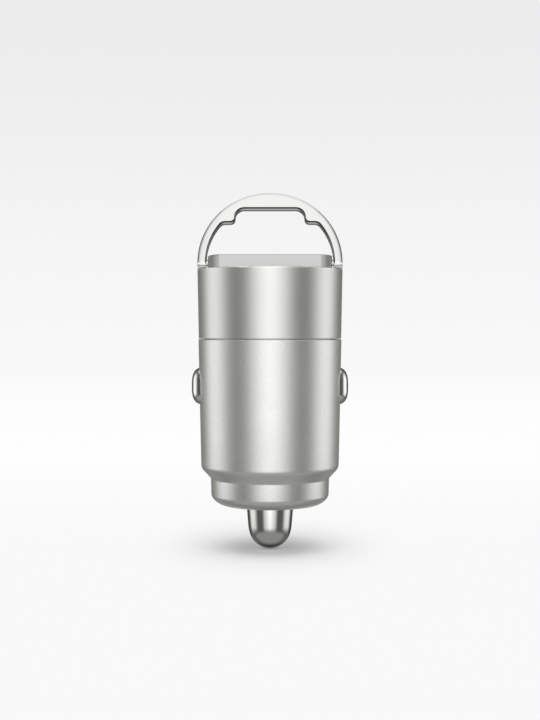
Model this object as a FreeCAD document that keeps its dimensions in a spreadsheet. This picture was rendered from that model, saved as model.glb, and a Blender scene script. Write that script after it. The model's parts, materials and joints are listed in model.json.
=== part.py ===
"""Small flush-fit car charger plug, in millimetres.

It stands on its tip: the origin is the lowest point of the tip, +Z runs up through the nose, the
barrel and the head to the ports, X runs across the two side contacts and the ring's hinge, and -Y is
the front.
"""
import FreeCAD, Part
import os
import Sketcher
from math import acos, asin, atan2, radians, sqrt

# Sizes of the plug. Each is written here once and kept in the sheet.
SIZES = {
    # heights of the shells, from the tip upward
    "tip_reach": 6.75,
    "nose_length": 4.0,
    "shoulder_length": 1.51,
    "barrel_length": 19.44,
    "seam_gap": 0.1,
    "head_length": 10.5,
    "platform_rise": 2.0,
    # outside of the shells, from the platform outward and then down
    "platform_wall": 1.07,
    "flat_wall": 0.5,
    "rim_ledge": 1.595,
    "head_inset": 0.205,
    "barrel_overhang": 0.04,
    "barrel_inset": 0.43,
    "shoulder_width": 1.45,
    "nose_inset": 0.09,
    "nose_bevel": 1.31,
    "nose_bevel_rise": 0.9,
    "nose_rounding": 1.15,
    "nose_foot_rounding": 0.2,
    "shoulder_rounding": 1.3,
    "shoulder_hollow": 0.4,
    "seam_bevel": 0.1,
    "rim_rounding": 0.15,
    "platform_rounding": 0.15,
    # inside of the shells
    "barrel_wall": 0.97,
    "nose_wall": 1.08,
    "nose_floor": 1.4,
    "funnel_foot": 0.45,
    "funnel_head": 1.04,
    "skirt_ledge": 0.45,
    "skirt_wall": 0.9,
    "skirt_length": 3.0,
    "rim_wall": 1.0,
    # pull ring
    "ring_inset": 0.015,
    "ring_gap": 0.25,
    "ring_thickness": 1.8,
    "ring_lean": 14.0,
    "hinge_rise": 0.95,
    "ledge_gap": 0.65,
    "ledge_corner": 1.0,
    "notch_bar": 2.47,
    "notch_width": 10.56,
    "notch_lip": 0.8,
    "notch_corner": 1.35,
    "ring_outer_edge": 0.2,
    "ring_inner_edge": 0.24,
    "pin_dia": 1.0,
    "pin_clearance": 0.05,
    "pin_seat": 0.8,
    "pin_sink": 0.15,
    # port insert, drawn about the larger receptacle
    "insert_wall": 0.2,
    "insert_flat_wall": 0.3,
    "insert_sink": 0.15,
    "flange_clearance": 0.1,
    "flange_height": 1.0,
    "insert_face": 1.25,
    "mouth_rounding": 0.2,
    # board
    "board_face": 0.85,
    "board_thickness": 0.6,
    "board_width": 12.6,
    "board_headroom": 0.1,
    "board_sink": 0.5,
    # larger receptacle
    "usb_a_width": 13.1,
    "usb_a_height": 5.7,
    "usb_a_depth": 12.0,
    "usb_a_sheet": 0.3,
    "usb_a_corner": 0.5,
    "leaf_width": 1.8,
    "leaf_pitch": 6.2,
    "leaf_drop": 1.5,
    "leaf_length": 4.4,
    "leaf_hook": 0.9,
    "leaf_bow": 0.38,
    "leaf_hook_bow": 0.28,
    "leaf_gap": 0.3,
    "usb_a_tongue_width": 11.1,
    "usb_a_tongue_thickness": 1.84,
    "usb_a_tongue_inset": 0.72,
    "usb_a_tongue_recess": 1.0,
    "usb_a_base": 2.0,
    "usb_a_outer_pitch": 7.0,
    "usb_a_inner_pitch": 2.0,
    "usb_a_contact_width": 1.0,
    "usb_a_contact_thickness": 0.25,
    "usb_a_contact_rise": 0.8,
    "usb_a_contact_sink": 0.4,
    # smaller receptacle
    "usb_c_width": 8.94,
    "usb_c_height": 3.26,
    "usb_c_depth": 7.3,
    "usb_c_sheet": 0.3,
    "usb_c_tongue_width": 6.69,
    "usb_c_tongue_thickness": 0.7,
    "usb_c_tongue_recess": 0.8,
    "usb_c_base": 1.4,
    "usb_c_pitch": 0.5,
    "usb_c_contact_width": 0.25,
    "usb_c_contact_thickness": 0.08,
    "usb_c_contact_rise": 0.8,
    "usb_c_contact_sink": 0.4,
    # tip, its bush and the spring
    "tip_dia": 7.1,
    "dome_inset": 0.25,
    "tip_cone_drop": 0.75,
    "tip_clearance": 0.08,
    "tip_wall": 1.17,
    "tip_floor": 4.6,
    "collar_width": 1.08,
    "collar_thickness": 0.9,
    "collar_clearance": 0.2,
    "collar_gap": 0.03,
    "bush_ledge": 2.25,
    "bush_wall": 1.05,
    "bush_outer_wall": 1.45,
    "spring_wire_dia": 0.4,
    "spring_clearance": 0.4,
    "spring_turns": 4.5,
    "seat_margin": 1.1,
    "seat_clearance": 0.05,
    "seat_thickness": 0.5,
    "seat_sink": 0.2,
    "stem_dia": 1.2,
    "stem_rise": 1.4,
    # frame of the board
    "carrier_clearance": 0.05,
    "carrier_lift": 0.1,
    "carrier_thickness": 1.4,
    "boss_height": 0.8,
    "rail_wall": 0.65,
    "rail_lap": 0.4,
    "rail_cheek": 0.9,
    "rail_headroom": 1.4,
    "groove_clearance": 0.05,
    # side contacts
    "contact_drop": 4.1,
    "button_proud": 1.02,
    "button_width": 3.72,
    "button_length": 5.56,
    "button_rounding": 1.8,
    "button_crown": 2.66,
    "button_slope": 2.18,
    "crown_rounding": 1.5,
    "window_gap": 0.18,
    "strip_thickness": 0.35,
    "strip_clearance": 0.4,
    "strip_width": 4.6,
    "strip_foot": 0.5,
    "strip_headroom": 0.5,
    "strip_corner": 1.0,
    "foot_end_gap": 0.15,
    "foot_gap": 0.05,
    "relief_rise": 0.7,
    "relief_depth": 0.35,
    # parts on the board, each placed from its middle line and from the frame's floor
    "inductor_width": 5.6,
    "inductor_height": 3.0,
    "inductor_x": -2.8,
    "inductor_headroom": 1.5,
    "inductor_corner": 0.8,
    "inductor_top_edge": 0.3,
    "input_can_dia": 5.0,
    "input_can_height": 5.4,
    "input_can_x": 3.1,
    "input_can_rise": 4.95,
    "output_can_dia": 5.0,
    "output_can_height": 4.4,
    "output_can_x": 2.7,
    "output_can_rise": 11.6,
    "can_base": 0.5,
    "can_base_margin": 0.15,
    "can_crimp": 0.25,
    "can_crimp_rise": 1.2,
    "can_rim": 0.3,
    "fuse_length": 6.1,
    "fuse_width": 2.6,
    "fuse_cap": 1.3,
    "fuse_cap_rise": 0.1,
    "fuse_x": -3.3,
    "fuse_rise": 3.6,
    "chip_width": 4.0,
    "chip_length": 5.0,
    "chip_height": 0.9,
    "chip_x": -2.8,
    "chip_rise": 5.8,
    "chip_pin_width": 0.4,
    "chip_pin_pitch": 1.27,
    "chip_pin_reach": 0.8,
    "chip_pin_height": 0.2,
    "switch_width": 5.0,
    "switch_length": 6.0,
    "switch_height": 1.0,
    "switch_x": 2.9,
    "switch_rise": 3.8,
    "switch_tab_length": 1.0,
    "switch_tab_height": 0.3,
}

FRONT_BACK_PLANE = "XZ_Plane"
SIDE_PLANE = "YZ_Plane"
FLOOR_PLANE = "XY_Plane"
QUARTER_TURN = 90.0
HALF_TURN = 180.0
FULL_TURN = 360.0
NEAR = 1e-4
FRONT = FreeCAD.Vector(0, -1, 0)
ACROSS = FreeCAD.Vector(1, 0, 0)
UP = FreeCAD.Vector(0, 0, 1)

# How many of each repeated piece.
USB_C_CONTACT_COUNT = 12
CHIP_LEG_COUNT = 4

doc = FreeCAD.newDocument("car_usb_charger_plug")
sheet = doc.addObject("Spreadsheet::Sheet", "Sizes")
for row, (word, number) in enumerate(SIZES.items(), start=1):
    sheet.set(f"A{row}", word)
    sheet.set(f"B{row}", str(number))
    sheet.setAlias(f"B{row}", word)
doc.recompute()


class Size:
    """A length that knows its number, to draw with, and its formula, to bind to the sheet."""

    def __init__(self, number, formula):
        self.number = number
        self.formula = formula

    def __add__(self, other):
        other = size(other)
        return Size(self.number + other.number, f"({self.formula} + {other.formula})")

    def __radd__(self, other):
        return size(other) + self

    def __sub__(self, other):
        other = size(other)
        return Size(self.number - other.number, f"({self.formula} - {other.formula})")

    def __rsub__(self, other):
        return size(other) - self

    def __mul__(self, other):
        other = size(other)
        return Size(self.number * other.number, f"({self.formula} * {other.formula})")

    def __truediv__(self, other):
        other = size(other)
        return Size(self.number / other.number, f"({self.formula} / {other.formula})")

    def __neg__(self):
        return Size(-self.number, f"(0 - {self.formula})")


def size(value):
    """The cell of that name, or a plain number, as a Size."""
    if isinstance(value, Size):
        return value
    if isinstance(value, str):
        return Size(float(sheet.get(value)), f"Sizes.{value}")
    return Size(float(value), str(float(value)))


def root(value):
    return Size(sqrt(value.number), f"sqrt({value.formula})")


def bind(item, path, value):
    item.setExpression(path, size(value).formula)


# Heights that several pieces share.
ZERO = size(0)
nose_face = size("tip_reach")
nose_top = nose_face + size("nose_length")
barrel_base = nose_top + size("shoulder_length")
barrel_top = barrel_base + size("barrel_length")
head_base = barrel_top + size("seam_gap")
rim = head_base + size("head_length")
platform_top = rim + size("platform_rise")
ceiling = rim - size("rim_wall")
flange_low = ceiling - size("flange_height")
hinge_height = rim + size("hinge_rise")
skirt_foot = barrel_top - size("skirt_length")
funnel_low = nose_top + size("funnel_foot")
funnel_top = barrel_base + size("funnel_head")
carrier_low = funnel_top + size("carrier_lift")
carrier_top = carrier_low + size("carrier_thickness")
bush_top = carrier_low - size("boss_height")
bush_shoulder = nose_face + size("nose_floor")
bush_ledge = nose_face + size("bush_ledge")
seat_low = bush_top + size("seat_sink")
insert_top = platform_top - size("insert_sink")
port_seat = insert_top - size("insert_face")
usb_a_floor = port_seat - size("usb_a_depth")
usb_c_floor = port_seat - size("usb_c_depth")
usb_a_tongue_tip = port_seat - size("usb_a_tongue_recess")
usb_c_tongue_tip = port_seat - size("usb_c_tongue_recess")
usb_a_base_floor = usb_a_floor + size("usb_a_sheet")
usb_c_base_floor = usb_c_floor + size("usb_c_sheet")
usb_a_contact_low = usb_a_base_floor + size("usb_a_base") + size("usb_a_contact_rise")
usb_c_contact_low = usb_c_base_floor + size("usb_c_base") + size("usb_c_contact_rise")
board_foot = carrier_top - size("board_sink")
contact_height = skirt_foot - size("contact_drop")
strip_foot = carrier_low + size("strip_foot")
strip_top = skirt_foot - size("strip_headroom")

# Places from front to back.
board_front = size("board_face")
board_back = board_front + size("board_thickness")
usb_a_reach = size("usb_a_height") - board_front
usb_a_middle = board_front - size("usb_a_height") / 2
usb_c_middle = board_back + size("usb_c_height") / 2
usb_a_tongue_face = (size("usb_a_sheet") + size("usb_a_tongue_inset") + size("usb_a_tongue_thickness")
                     - usb_a_reach)

# Radii that several pieces share. The head is drawn about the larger receptacle, from the inside out.
usb_a_corner = root(size("usb_a_width") * size("usb_a_width") / 4 + usb_a_reach * usb_a_reach)
insert_radius = usb_a_corner + size("insert_wall")
insert_reach = usb_a_reach + size("insert_flat_wall")
platform_radius = insert_radius + size("platform_wall")
platform_reach = insert_reach + size("flat_wall")
rim_radius = platform_radius + size("rim_ledge")
head_radius = rim_radius - size("head_inset")
barrel_radius = head_radius + size("barrel_overhang")
barrel_foot = barrel_radius - size("barrel_inset")
nose_radius = barrel_foot - size("shoulder_width")
nose_foot = nose_radius - size("nose_inset")
barrel_bore = barrel_foot - size("barrel_wall")
nose_bore = nose_foot - size("nose_wall")
skirt_radius = barrel_bore + size("skirt_ledge")
head_bore = skirt_radius - size("skirt_wall")
ring_radius = rim_radius - size("ring_inset")
ring_inner = platform_radius + size("ring_gap")
pin_radius = size("pin_dia") / 2
tip_radius = size("tip_dia") / 2
tip_bore = tip_radius + size("tip_clearance")
bush_spigot = tip_bore + size("bush_wall")
collar_radius = tip_radius + size("collar_width")
collar_bore = collar_radius + size("collar_clearance")
bush_radius = collar_bore + size("bush_outer_wall")
spring_bore = tip_radius - size("tip_wall")
wire_radius = size("spring_wire_dia") / 2
coil_radius = spring_bore - size("spring_clearance") - wire_radius
seat_radius = coil_radius + wire_radius + size("seat_margin")
stem_radius = size("stem_dia") / 2
carrier_radius = barrel_bore - size("carrier_clearance")
stem_offset = board_front - stem_radius

strip_face = barrel_bore - size("strip_clearance")
strip_back = strip_face - size("strip_thickness")


# Sketches.

def new_body(label):
    return doc.addObject("PartDesign::Body", label)


def new_sketch(body, role, label, offset=ZERO):
    """A sketch on one of the body's own planes, moved along the plane's normal by offset."""
    offset = size(offset)
    sketch = body.newObject("Sketcher::SketchObject", label)
    plane = next(item for item in body.Origin.OriginFeatures if item.Role == role)
    sketch.AttachmentSupport = [(plane, "")]
    sketch.MapMode = "FlatFace"
    sketch.AttachmentOffset = FreeCAD.Placement(FreeCAD.Vector(0, 0, offset.number), FreeCAD.Rotation())
    bind(sketch, "AttachmentOffset.Base.z", offset)
    return sketch


def place(sketch, edge, end, across, up):
    """Holds one end of an edge, or a centre, at a place measured from the sketch's origin."""
    for kind, axis, value in (("DistanceX", -2, size(across)), ("DistanceY", -1, size(up))):
        if abs(value.number) < NEAR:
            sketch.addConstraint(Sketcher.Constraint("PointOnObject", edge, end, axis))
        elif value.number > 0:
            index = sketch.addConstraint(Sketcher.Constraint(kind, -1, 1, edge, end, value.number))
            bind(sketch, f"Constraints[{index}]", value)
        else:
            index = sketch.addConstraint(Sketcher.Constraint(kind, edge, end, -1, 1, -value.number))
            bind(sketch, f"Constraints[{index}]", -value)


def vector(across, up):
    return FreeCAD.Vector(size(across).number, size(up).number, 0)


def draw_outline(sketch, points):
    """A closed outline of straight lines through the points."""
    first = len(sketch.Geometry)
    count = len(points)
    for i in range(count):
        start, end = points[i], points[(i + 1) % count]
        sketch.addGeometry(Part.LineSegment(vector(*start), vector(*end)))
    close_chain(sketch, range(first, first + count))
    for i, (across, up) in enumerate(points):
        place(sketch, first + i, 1, across, up)


def draw_box(sketch, left, low, right, high):
    draw_outline(sketch, [(left, low), (right, low), (right, high), (left, high)])


def draw_circle(sketch, across, up, radius):
    circle = Part.Circle(vector(across, up), FreeCAD.Vector(0, 0, 1), radius.number)
    edge = sketch.addGeometry(circle)
    place(sketch, edge, 3, across, up)
    hold_radius(sketch, edge, radius)


def arc(centre, radius, start, end):
    """An arc between two angles in degrees, anticlockwise."""
    circle = Part.Circle(vector(*centre), FreeCAD.Vector(0, 0, 1), radius.number)
    return Part.ArcOfCircle(circle, radians(start), radians(end))


def draw_slot(sketch, across, up, width, length, upright=True):
    """A slot with round ends: length over all, along the sketch's vertical if upright."""
    across, up = size(across), size(up)
    radius = width / 2
    reach = length / 2 - radius
    run, side = (ZERO, reach) if upright else (reach, ZERO)
    turn = QUARTER_TURN if upright else 0
    ends = [(across + run, up + side), (across - run, up - side)]
    caps = [sketch.addGeometry(arc(end, radius, turn - QUARTER_TURN, turn + QUARTER_TURN))
            for end, turn in zip(ends, (turn, turn + HALF_TURN))]
    lines = []
    for k in (0, 1):
        leave = sketch.Geometry[caps[k]].EndPoint
        arrive = sketch.Geometry[caps[1 - k]].StartPoint
        lines.append(sketch.addGeometry(Part.LineSegment(leave, arrive)))
    for k in (0, 1):
        sketch.addConstraint(Sketcher.Constraint("Tangent", caps[k], 2, lines[k], 1))
        sketch.addConstraint(Sketcher.Constraint("Tangent", lines[k], 2, caps[1 - k], 1))
        place(sketch, caps[k], 3, *ends[k])
    sketch.addConstraint(Sketcher.Constraint("Equal", caps[0], caps[1]))
    hold_radius(sketch, caps[0], radius)


def draw_double_d(sketch, radius, reach):
    """A circle with two flats, across the sketch's vertical."""
    corner = root(radius * radius - reach * reach)
    turn = atan2(reach.number, corner.number) / radians(1)
    right = sketch.addGeometry(arc((0, 0), radius, -turn, turn))
    upper = sketch.addGeometry(Part.LineSegment(vector(corner, reach), vector(-corner, reach)))
    left = sketch.addGeometry(arc((0, 0), radius, HALF_TURN - turn, HALF_TURN + turn))
    lower = sketch.addGeometry(Part.LineSegment(vector(-corner, -reach), vector(corner, -reach)))
    close_chain(sketch, [right, upper, left, lower])
    for edge in (right, left):
        sketch.addConstraint(Sketcher.Constraint("Coincident", edge, 3, -1, 1))
    sketch.addConstraint(Sketcher.Constraint("Equal", right, left))
    hold_radius(sketch, right, radius)
    for edge, order in ((upper, (-1, 1, upper, 1)), (lower, (lower, 1, -1, 1))):
        sketch.addConstraint(Sketcher.Constraint("Horizontal", edge))
        index = sketch.addConstraint(Sketcher.Constraint("DistanceY", *order, reach.number))
        bind(sketch, f"Constraints[{index}]", reach)


def close_chain(sketch, chain):
    """Joins the end of each edge to the start of the next, and the last to the first."""
    for i, edge in enumerate(chain):
        sketch.addConstraint(Sketcher.Constraint("Coincident", edge, 2, chain[(i + 1) % len(chain)], 1))


def draw_path(sketch, points):
    """An open run of straight lines, not yet held in place."""
    return [sketch.addGeometry(Part.LineSegment(vector(*start), vector(*end)))
            for start, end in zip(points, points[1:])]


def hold_radius(sketch, edge, radius):
    index = sketch.addConstraint(Sketcher.Constraint("Radius", edge, radius.number))
    bind(sketch, f"Constraints[{index}]", radius)


def draw_arch(sketch, radius, legs, flat=None):
    """A half round arch that stands on two straight legs, cut off level at flat if one is given."""
    if flat is None:
        arcs = [sketch.addGeometry(arc((0, 0), radius, 0, HALF_TURN))]
        chain = list(arcs)
    else:
        corner = root(radius * radius - flat * flat)
        turn = atan2(flat.number, corner.number) / radians(1)
        arcs = [sketch.addGeometry(arc((0, 0), radius, 0, turn))]
        top = draw_path(sketch, [(corner, flat), (-corner, flat)])
        arcs.append(sketch.addGeometry(arc((0, 0), radius, HALF_TURN - turn, HALF_TURN)))
        chain = [arcs[0], top[0], arcs[1]]
        sketch.addConstraint(Sketcher.Constraint("Horizontal", top[0]))
        index = sketch.addConstraint(Sketcher.Constraint("DistanceY", -1, 1, top[0], 1, flat.number))
        bind(sketch, f"Constraints[{index}]", flat)
        sketch.addConstraint(Sketcher.Constraint("Equal", *arcs))
    feet = [(-radius, ZERO), (-radius, -legs), (radius, -legs), (radius, ZERO)]
    lines = draw_path(sketch, feet)
    close_chain(sketch, chain + lines)
    for edge in arcs:
        sketch.addConstraint(Sketcher.Constraint("Coincident", edge, 3, -1, 1))
    hold_radius(sketch, arcs[0], radius)
    place(sketch, lines[1], 1, *feet[1])
    place(sketch, lines[1], 2, *feet[2])
    sketch.addConstraint(Sketcher.Constraint("PointOnObject", arcs[0], 1, -1))
    sketch.addConstraint(Sketcher.Constraint("PointOnObject", arcs[-1], 2, -1))


# Features.

def pad(body, sketch, label, length, symmetric=False, back=False):
    feature = body.newObject("PartDesign::Pad", label)
    feature.Profile = sketch
    feature.Length = size(length).number
    bind(feature, "Length", length)
    feature.SideType = "Symmetric" if symmetric else "One side"
    feature.Reversed = back
    doc.recompute()
    return feature


def pocket(body, sketch, label, length=None, symmetric=False, back=False):
    """Cuts the sketch's area out, right through if no length is given."""
    before = body.Shape.Volume
    feature = body.newObject("PartDesign::Pocket", label)
    feature.Profile = sketch
    if length is None:
        feature.Type = "ThroughAll"
    else:
        feature.Length = size(length).number
        bind(feature, "Length", length)
    feature.SideType = "Symmetric" if symmetric else "One side"
    feature.Reversed = back
    doc.recompute()
    if not body.Shape.Volume < before:
        raise ValueError(f"{label} cuts nothing")
    return feature


def revolve(body, sketch, label):
    feature = body.newObject("PartDesign::Revolution", label)
    feature.Profile = sketch
    feature.ReferenceAxis = (sketch, ["V_Axis"])
    feature.Angle = FULL_TURN
    doc.recompute()
    return feature


def repeat_along(body, label, axis, length, count):
    """Repeats the last feature in a row of that length over all."""
    feature = body.newObject("PartDesign::LinearPattern", label)
    feature.Originals = [body.Tip]
    feature.Direction = axis
    feature.Length = size(length).number
    feature.Occurrences = count
    bind(feature, "Length", length)
    body.Tip = feature
    doc.recompute()
    return feature


def round_edges(body, label, radius, wanted):
    """Rounds every edge of the body that wanted() accepts."""
    base = body.Tip
    names = [f"Edge{i}" for i, edge in enumerate(base.Shape.Edges, start=1) if wanted(edge)]
    if not names:
        raise ValueError(f"{label} finds no edge")
    feature = body.newObject("PartDesign::Fillet", label)
    feature.Base = (base, names)
    feature.Radius = size(radius).number
    bind(feature, "Radius", radius)
    doc.recompute()
    return feature


def middle(edge):
    """The point halfway along an edge."""
    return edge.valueAt((edge.FirstParameter + edge.LastParameter) / 2)


def is_ring_edge(edge, radius, height):
    """True for a full circle about the plug's axis at that radius and height."""
    if not isinstance(edge.Curve, Part.Circle):
        return False
    centre = edge.Curve.Center
    return abs(edge.Curve.Radius - radius.number) < NEAR and abs(centre.z - height.number) < NEAR


def is_along(edge, axis):
    """True for a straight edge that runs along that axis of the body."""
    if not isinstance(edge.Curve, Part.Line):
        return False
    return abs(edge.tangentAt(edge.FirstParameter).dot(axis)) > 1 - NEAR


# The shells.

def make_barrel():
    body = new_body("barrel")
    profile = new_sketch(body, FRONT_BACK_PLANE, "barrel_profile")
    bevel_foot = nose_foot - size("nose_bevel")
    bevel_top = nose_face + size("nose_bevel_rise")
    bevel = size("seam_bevel")
    draw_outline(profile, [
        (bush_spigot, nose_face),
        (bevel_foot, nose_face),
        (nose_foot, bevel_top),
        (nose_radius, nose_top),
        (barrel_foot, barrel_base),
        (barrel_radius, barrel_top - bevel),
        (barrel_radius - bevel, barrel_top),
        (skirt_radius, barrel_top),
        (skirt_radius, skirt_foot),
        (barrel_bore, skirt_foot),
        (barrel_bore, funnel_top),
        (nose_bore, funnel_low),
        (nose_bore, bush_shoulder),
        (bush_spigot, bush_shoulder),
    ])
    revolve(body, profile, "barrel_turning")
    round_edges(body, "shoulder_rounding", "shoulder_rounding",
                lambda edge: is_ring_edge(edge, barrel_foot, barrel_base))
    round_edges(body, "shoulder_hollow", "shoulder_hollow",
                lambda edge: is_ring_edge(edge, nose_radius, nose_top))
    round_edges(body, "nose_rounding", "nose_rounding",
                lambda edge: is_ring_edge(edge, nose_foot, bevel_top))
    round_edges(body, "nose_foot_rounding", "nose_foot_rounding",
                lambda edge: is_ring_edge(edge, bevel_foot, nose_face))
    windows = new_sketch(body, SIDE_PLANE, "window_outline")
    draw_slot(windows, 0, contact_height, size("button_width") + size("window_gap") * 2,
              size("button_length") + size("window_gap") * 2)
    pocket(body, windows, "contact_windows", symmetric=True)
    return body


def make_head_shell():
    body = new_body("head_shell")
    profile = new_sketch(body, FRONT_BACK_PLANE, "head_profile")
    bevel = size("seam_bevel")
    draw_outline(profile, [
        (head_bore, skirt_foot),
        (skirt_radius, skirt_foot),
        (skirt_radius, head_base),
        (head_radius - bevel, head_base),
        (head_radius, head_base + bevel),
        (rim_radius, rim),
        (platform_radius, rim),
        (platform_radius, platform_top),
        (0, platform_top),
        (0, ceiling),
        (head_bore, ceiling),
    ])
    revolve(body, profile, "head_turning")
    flats = new_sketch(body, FLOOR_PLANE, "flat_outline", platform_top)
    for side in (1, -1):
        draw_box(flats, -platform_radius, platform_reach * side, platform_radius, platform_radius * side)
    pocket(body, flats, "platform_flats", "platform_rise")
    hole = new_sketch(body, FLOOR_PLANE, "insert_hole_outline", platform_top)
    draw_double_d(hole, insert_radius, insert_reach)
    pocket(body, hole, "insert_hole")
    round_edges(body, "rim_rounding", "rim_rounding",
                lambda edge: is_ring_edge(edge, rim_radius, rim))
    round_edges(body, "platform_rounding", "platform_rounding",
                lambda edge: abs(middle(edge).z - platform_top.number) < NEAR
                and (abs(middle(edge).y) > platform_reach.number - NEAR
                     or abs(middle(edge).x) > platform_radius.number - NEAR))
    for side, label in ((1, "pin_hole_right"), (-1, "pin_hole_left")):
        hole = new_sketch(body, SIDE_PLANE, label + "_outline", (platform_radius - size("pin_seat")) * side)
        draw_circle(hole, 0, hinge_height, pin_radius)
        pocket(body, hole, label, back=side > 0)
    return body


# The pull ring, drawn flat about its hinge axis, then set on it with its lean.

def make_pull_ring():
    body = new_body("pull_ring")
    foot = size("ring_thickness") / 2
    plate = new_sketch(body, FRONT_BACK_PLANE, "ring_outline")
    draw_arch(plate, ring_radius, foot)
    pad(body, plate, "ring_plate", "ring_thickness", symmetric=True)
    step = platform_reach + size("ledge_gap")
    notch_top = ring_radius - size("notch_bar")
    corner = root(ring_inner * ring_inner - step * step)
    gap = new_sketch(body, FRONT_BACK_PLANE, "gap_outline")
    draw_arch(gap, ring_inner, foot * 2, flat=step)
    pocket(body, gap, "ring_gap", symmetric=True)
    half_notch = size("notch_width") / 2
    notch = new_sketch(body, FRONT_BACK_PLANE, "notch_outline")
    draw_box(notch, -half_notch, step - size("notch_lip"), half_notch, notch_top)
    pocket(body, notch, "finger_notch", symmetric=True)

    def corner_at(across, up):
        def wanted(edge):
            point = middle(edge)
            near_across = abs(abs(point.x) - size(across).number) < NEAR
            near_up = abs(point.z - size(up).number) < NEAR
            return is_along(edge, FRONT) and near_across and near_up
        return wanted

    round_edges(body, "ledge_corners", "ledge_corner", corner_at(corner, step))
    round_edges(body, "notch_corners", "notch_corner", corner_at(half_notch, notch_top))
    round_edges(body, "notch_lips", "notch_lip", corner_at(half_notch, step))

    def on_face(edge):
        ends = [edge.valueAt(edge.FirstParameter), middle(edge), edge.valueAt(edge.LastParameter)]
        return all(abs(abs(point.y) - foot.number) < NEAR for point in ends)

    def from_axis(edge):
        point = middle(edge)
        return sqrt(point.x ** 2 + max(point.z, 0) ** 2)

    def is_foot(edge):
        return middle(edge).z < NEAR - foot.number

    round_edges(body, "ring_outer_edges", "ring_outer_edge",
                lambda edge: on_face(edge) and not is_foot(edge)
                and from_axis(edge) > ring_radius.number - NEAR)
    round_edges(body, "ring_inner_edges", "ring_inner_edge",
                lambda edge: on_face(edge) and not is_foot(edge)
                and from_axis(edge) < ring_inner.number + NEAR)

    feet = new_sketch(body, SIDE_PLANE, "foot_outline")
    bottom = feet.addGeometry(arc((0, 0), foot, HALF_TURN, FULL_TURN))
    outer = foot * 2
    points = [(foot, ZERO), (outer, ZERO), (outer, -outer), (-outer, -outer), (-outer, ZERO), (-foot, ZERO)]
    lines = draw_path(feet, points)
    close_chain(feet, [bottom] + lines)
    feet.addConstraint(Sketcher.Constraint("Coincident", bottom, 3, -1, 1))
    hold_radius(feet, bottom, foot)
    for i in range(1, len(lines)):
        place(feet, lines[i], 1, *points[i])
    for end in (1, 2):
        feet.addConstraint(Sketcher.Constraint("PointOnObject", bottom, end, -1))
    pocket(body, feet, "foot_rounding", symmetric=True)

    bores = new_sketch(body, SIDE_PLANE, "bore_outline")
    draw_circle(bores, 0, 0, pin_radius + size("pin_clearance"))
    pocket(body, bores, "hinge_bores", symmetric=True)
    body.Placement = FreeCAD.Placement(FreeCAD.Vector(0, 0, hinge_height.number),
                                       FreeCAD.Rotation(-ACROSS, size("ring_lean").number))
    bind(body, "Placement.Base.z", hinge_height)
    body.setExpression("Placement.Rotation.Angle", "Sizes.ring_lean * 1 deg")
    return body


def make_ring_pin(label, side):
    body = new_body(label)
    inner = platform_radius - size("pin_seat")
    outer = ring_radius - size("pin_sink")
    profile = new_sketch(body, SIDE_PLANE, label + "_outline", inner * side)
    draw_circle(profile, 0, hinge_height, pin_radius)
    pad(body, profile, label + "_rod", outer - inner, back=side < 0)
    return body


# The plastic face of the platform and its two receptacles.

def draw_usb_a(sketch, width, height):
    """A rectangle about the middle of the larger receptacle."""
    half = width / 2
    draw_box(sketch, -half, usb_a_middle - height / 2, half, usb_a_middle + height / 2)


def make_port_insert():
    body = new_body("port_insert")
    face = new_sketch(body, FLOOR_PLANE, "insert_outline", flange_low)
    draw_double_d(face, insert_radius, insert_reach)
    pad(body, face, "insert_block", insert_top - flange_low)
    flange = new_sketch(body, FLOOR_PLANE, "flange_outline", flange_low)
    draw_circle(flange, 0, 0, head_bore - size("flange_clearance"))
    pad(body, flange, "insert_flange", "flange_height")
    width_a, height_a, sheet_a = size("usb_a_width"), size("usb_a_height"), size("usb_a_sheet")
    width_c, height_c, sheet_c = size("usb_c_width"), size("usb_c_height"), size("usb_c_sheet")
    seat = new_sketch(body, FLOOR_PLANE, "usb_a_seat_outline", flange_low)
    draw_usb_a(seat, width_a, height_a)
    pocket(body, seat, "usb_a_seat", port_seat - flange_low, back=True)
    seat = new_sketch(body, FLOOR_PLANE, "usb_c_seat_outline", flange_low)
    draw_slot(seat, 0, usb_c_middle, height_c, width_c, upright=False)
    pocket(body, seat, "usb_c_seat", port_seat - flange_low, back=True)
    mouth = new_sketch(body, FLOOR_PLANE, "usb_a_mouth_outline", insert_top)
    draw_usb_a(mouth, width_a - sheet_a * 2, height_a - sheet_a * 2)
    pocket(body, mouth, "usb_a_mouth")
    mouth = new_sketch(body, FLOOR_PLANE, "usb_c_mouth_outline", insert_top)
    draw_slot(mouth, 0, usb_c_middle, height_c - sheet_c * 2, width_c - sheet_c * 2, upright=False)
    pocket(body, mouth, "usb_c_mouth")
    round_edges(body, "usb_a_seat_corners", "usb_a_corner",
                lambda edge: is_along(edge, UP) and abs(abs(middle(edge).x) - width_a.number / 2) < NEAR)
    round_edges(body, "mouth_rounding", "mouth_rounding",
                lambda edge: abs(middle(edge).z - insert_top.number) < NEAR
                and abs(middle(edge).x) < width_a.number / 2
                and abs(middle(edge).y) < insert_reach.number - NEAR)
    return body


def draw_leaf(sketch, wall, inward):
    """A leaf from the side: it starts in that wall of the shell, bows inward and hooks back."""
    sheet_metal, bow = size("usb_a_sheet") * inward, size("leaf_bow") * inward
    hook = bow - size("leaf_hook_bow") * inward
    top = port_seat - size("leaf_drop")
    bend = top - size("leaf_length")
    end = bend - size("leaf_hook")
    outer = [(wall, top + size("usb_a_sheet")), (wall, top), (wall + bow, bend), (wall + hook, end)]
    inner = [(across + sheet_metal, up) for across, up in reversed(outer)]
    draw_outline(sketch, outer + inner)


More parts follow.
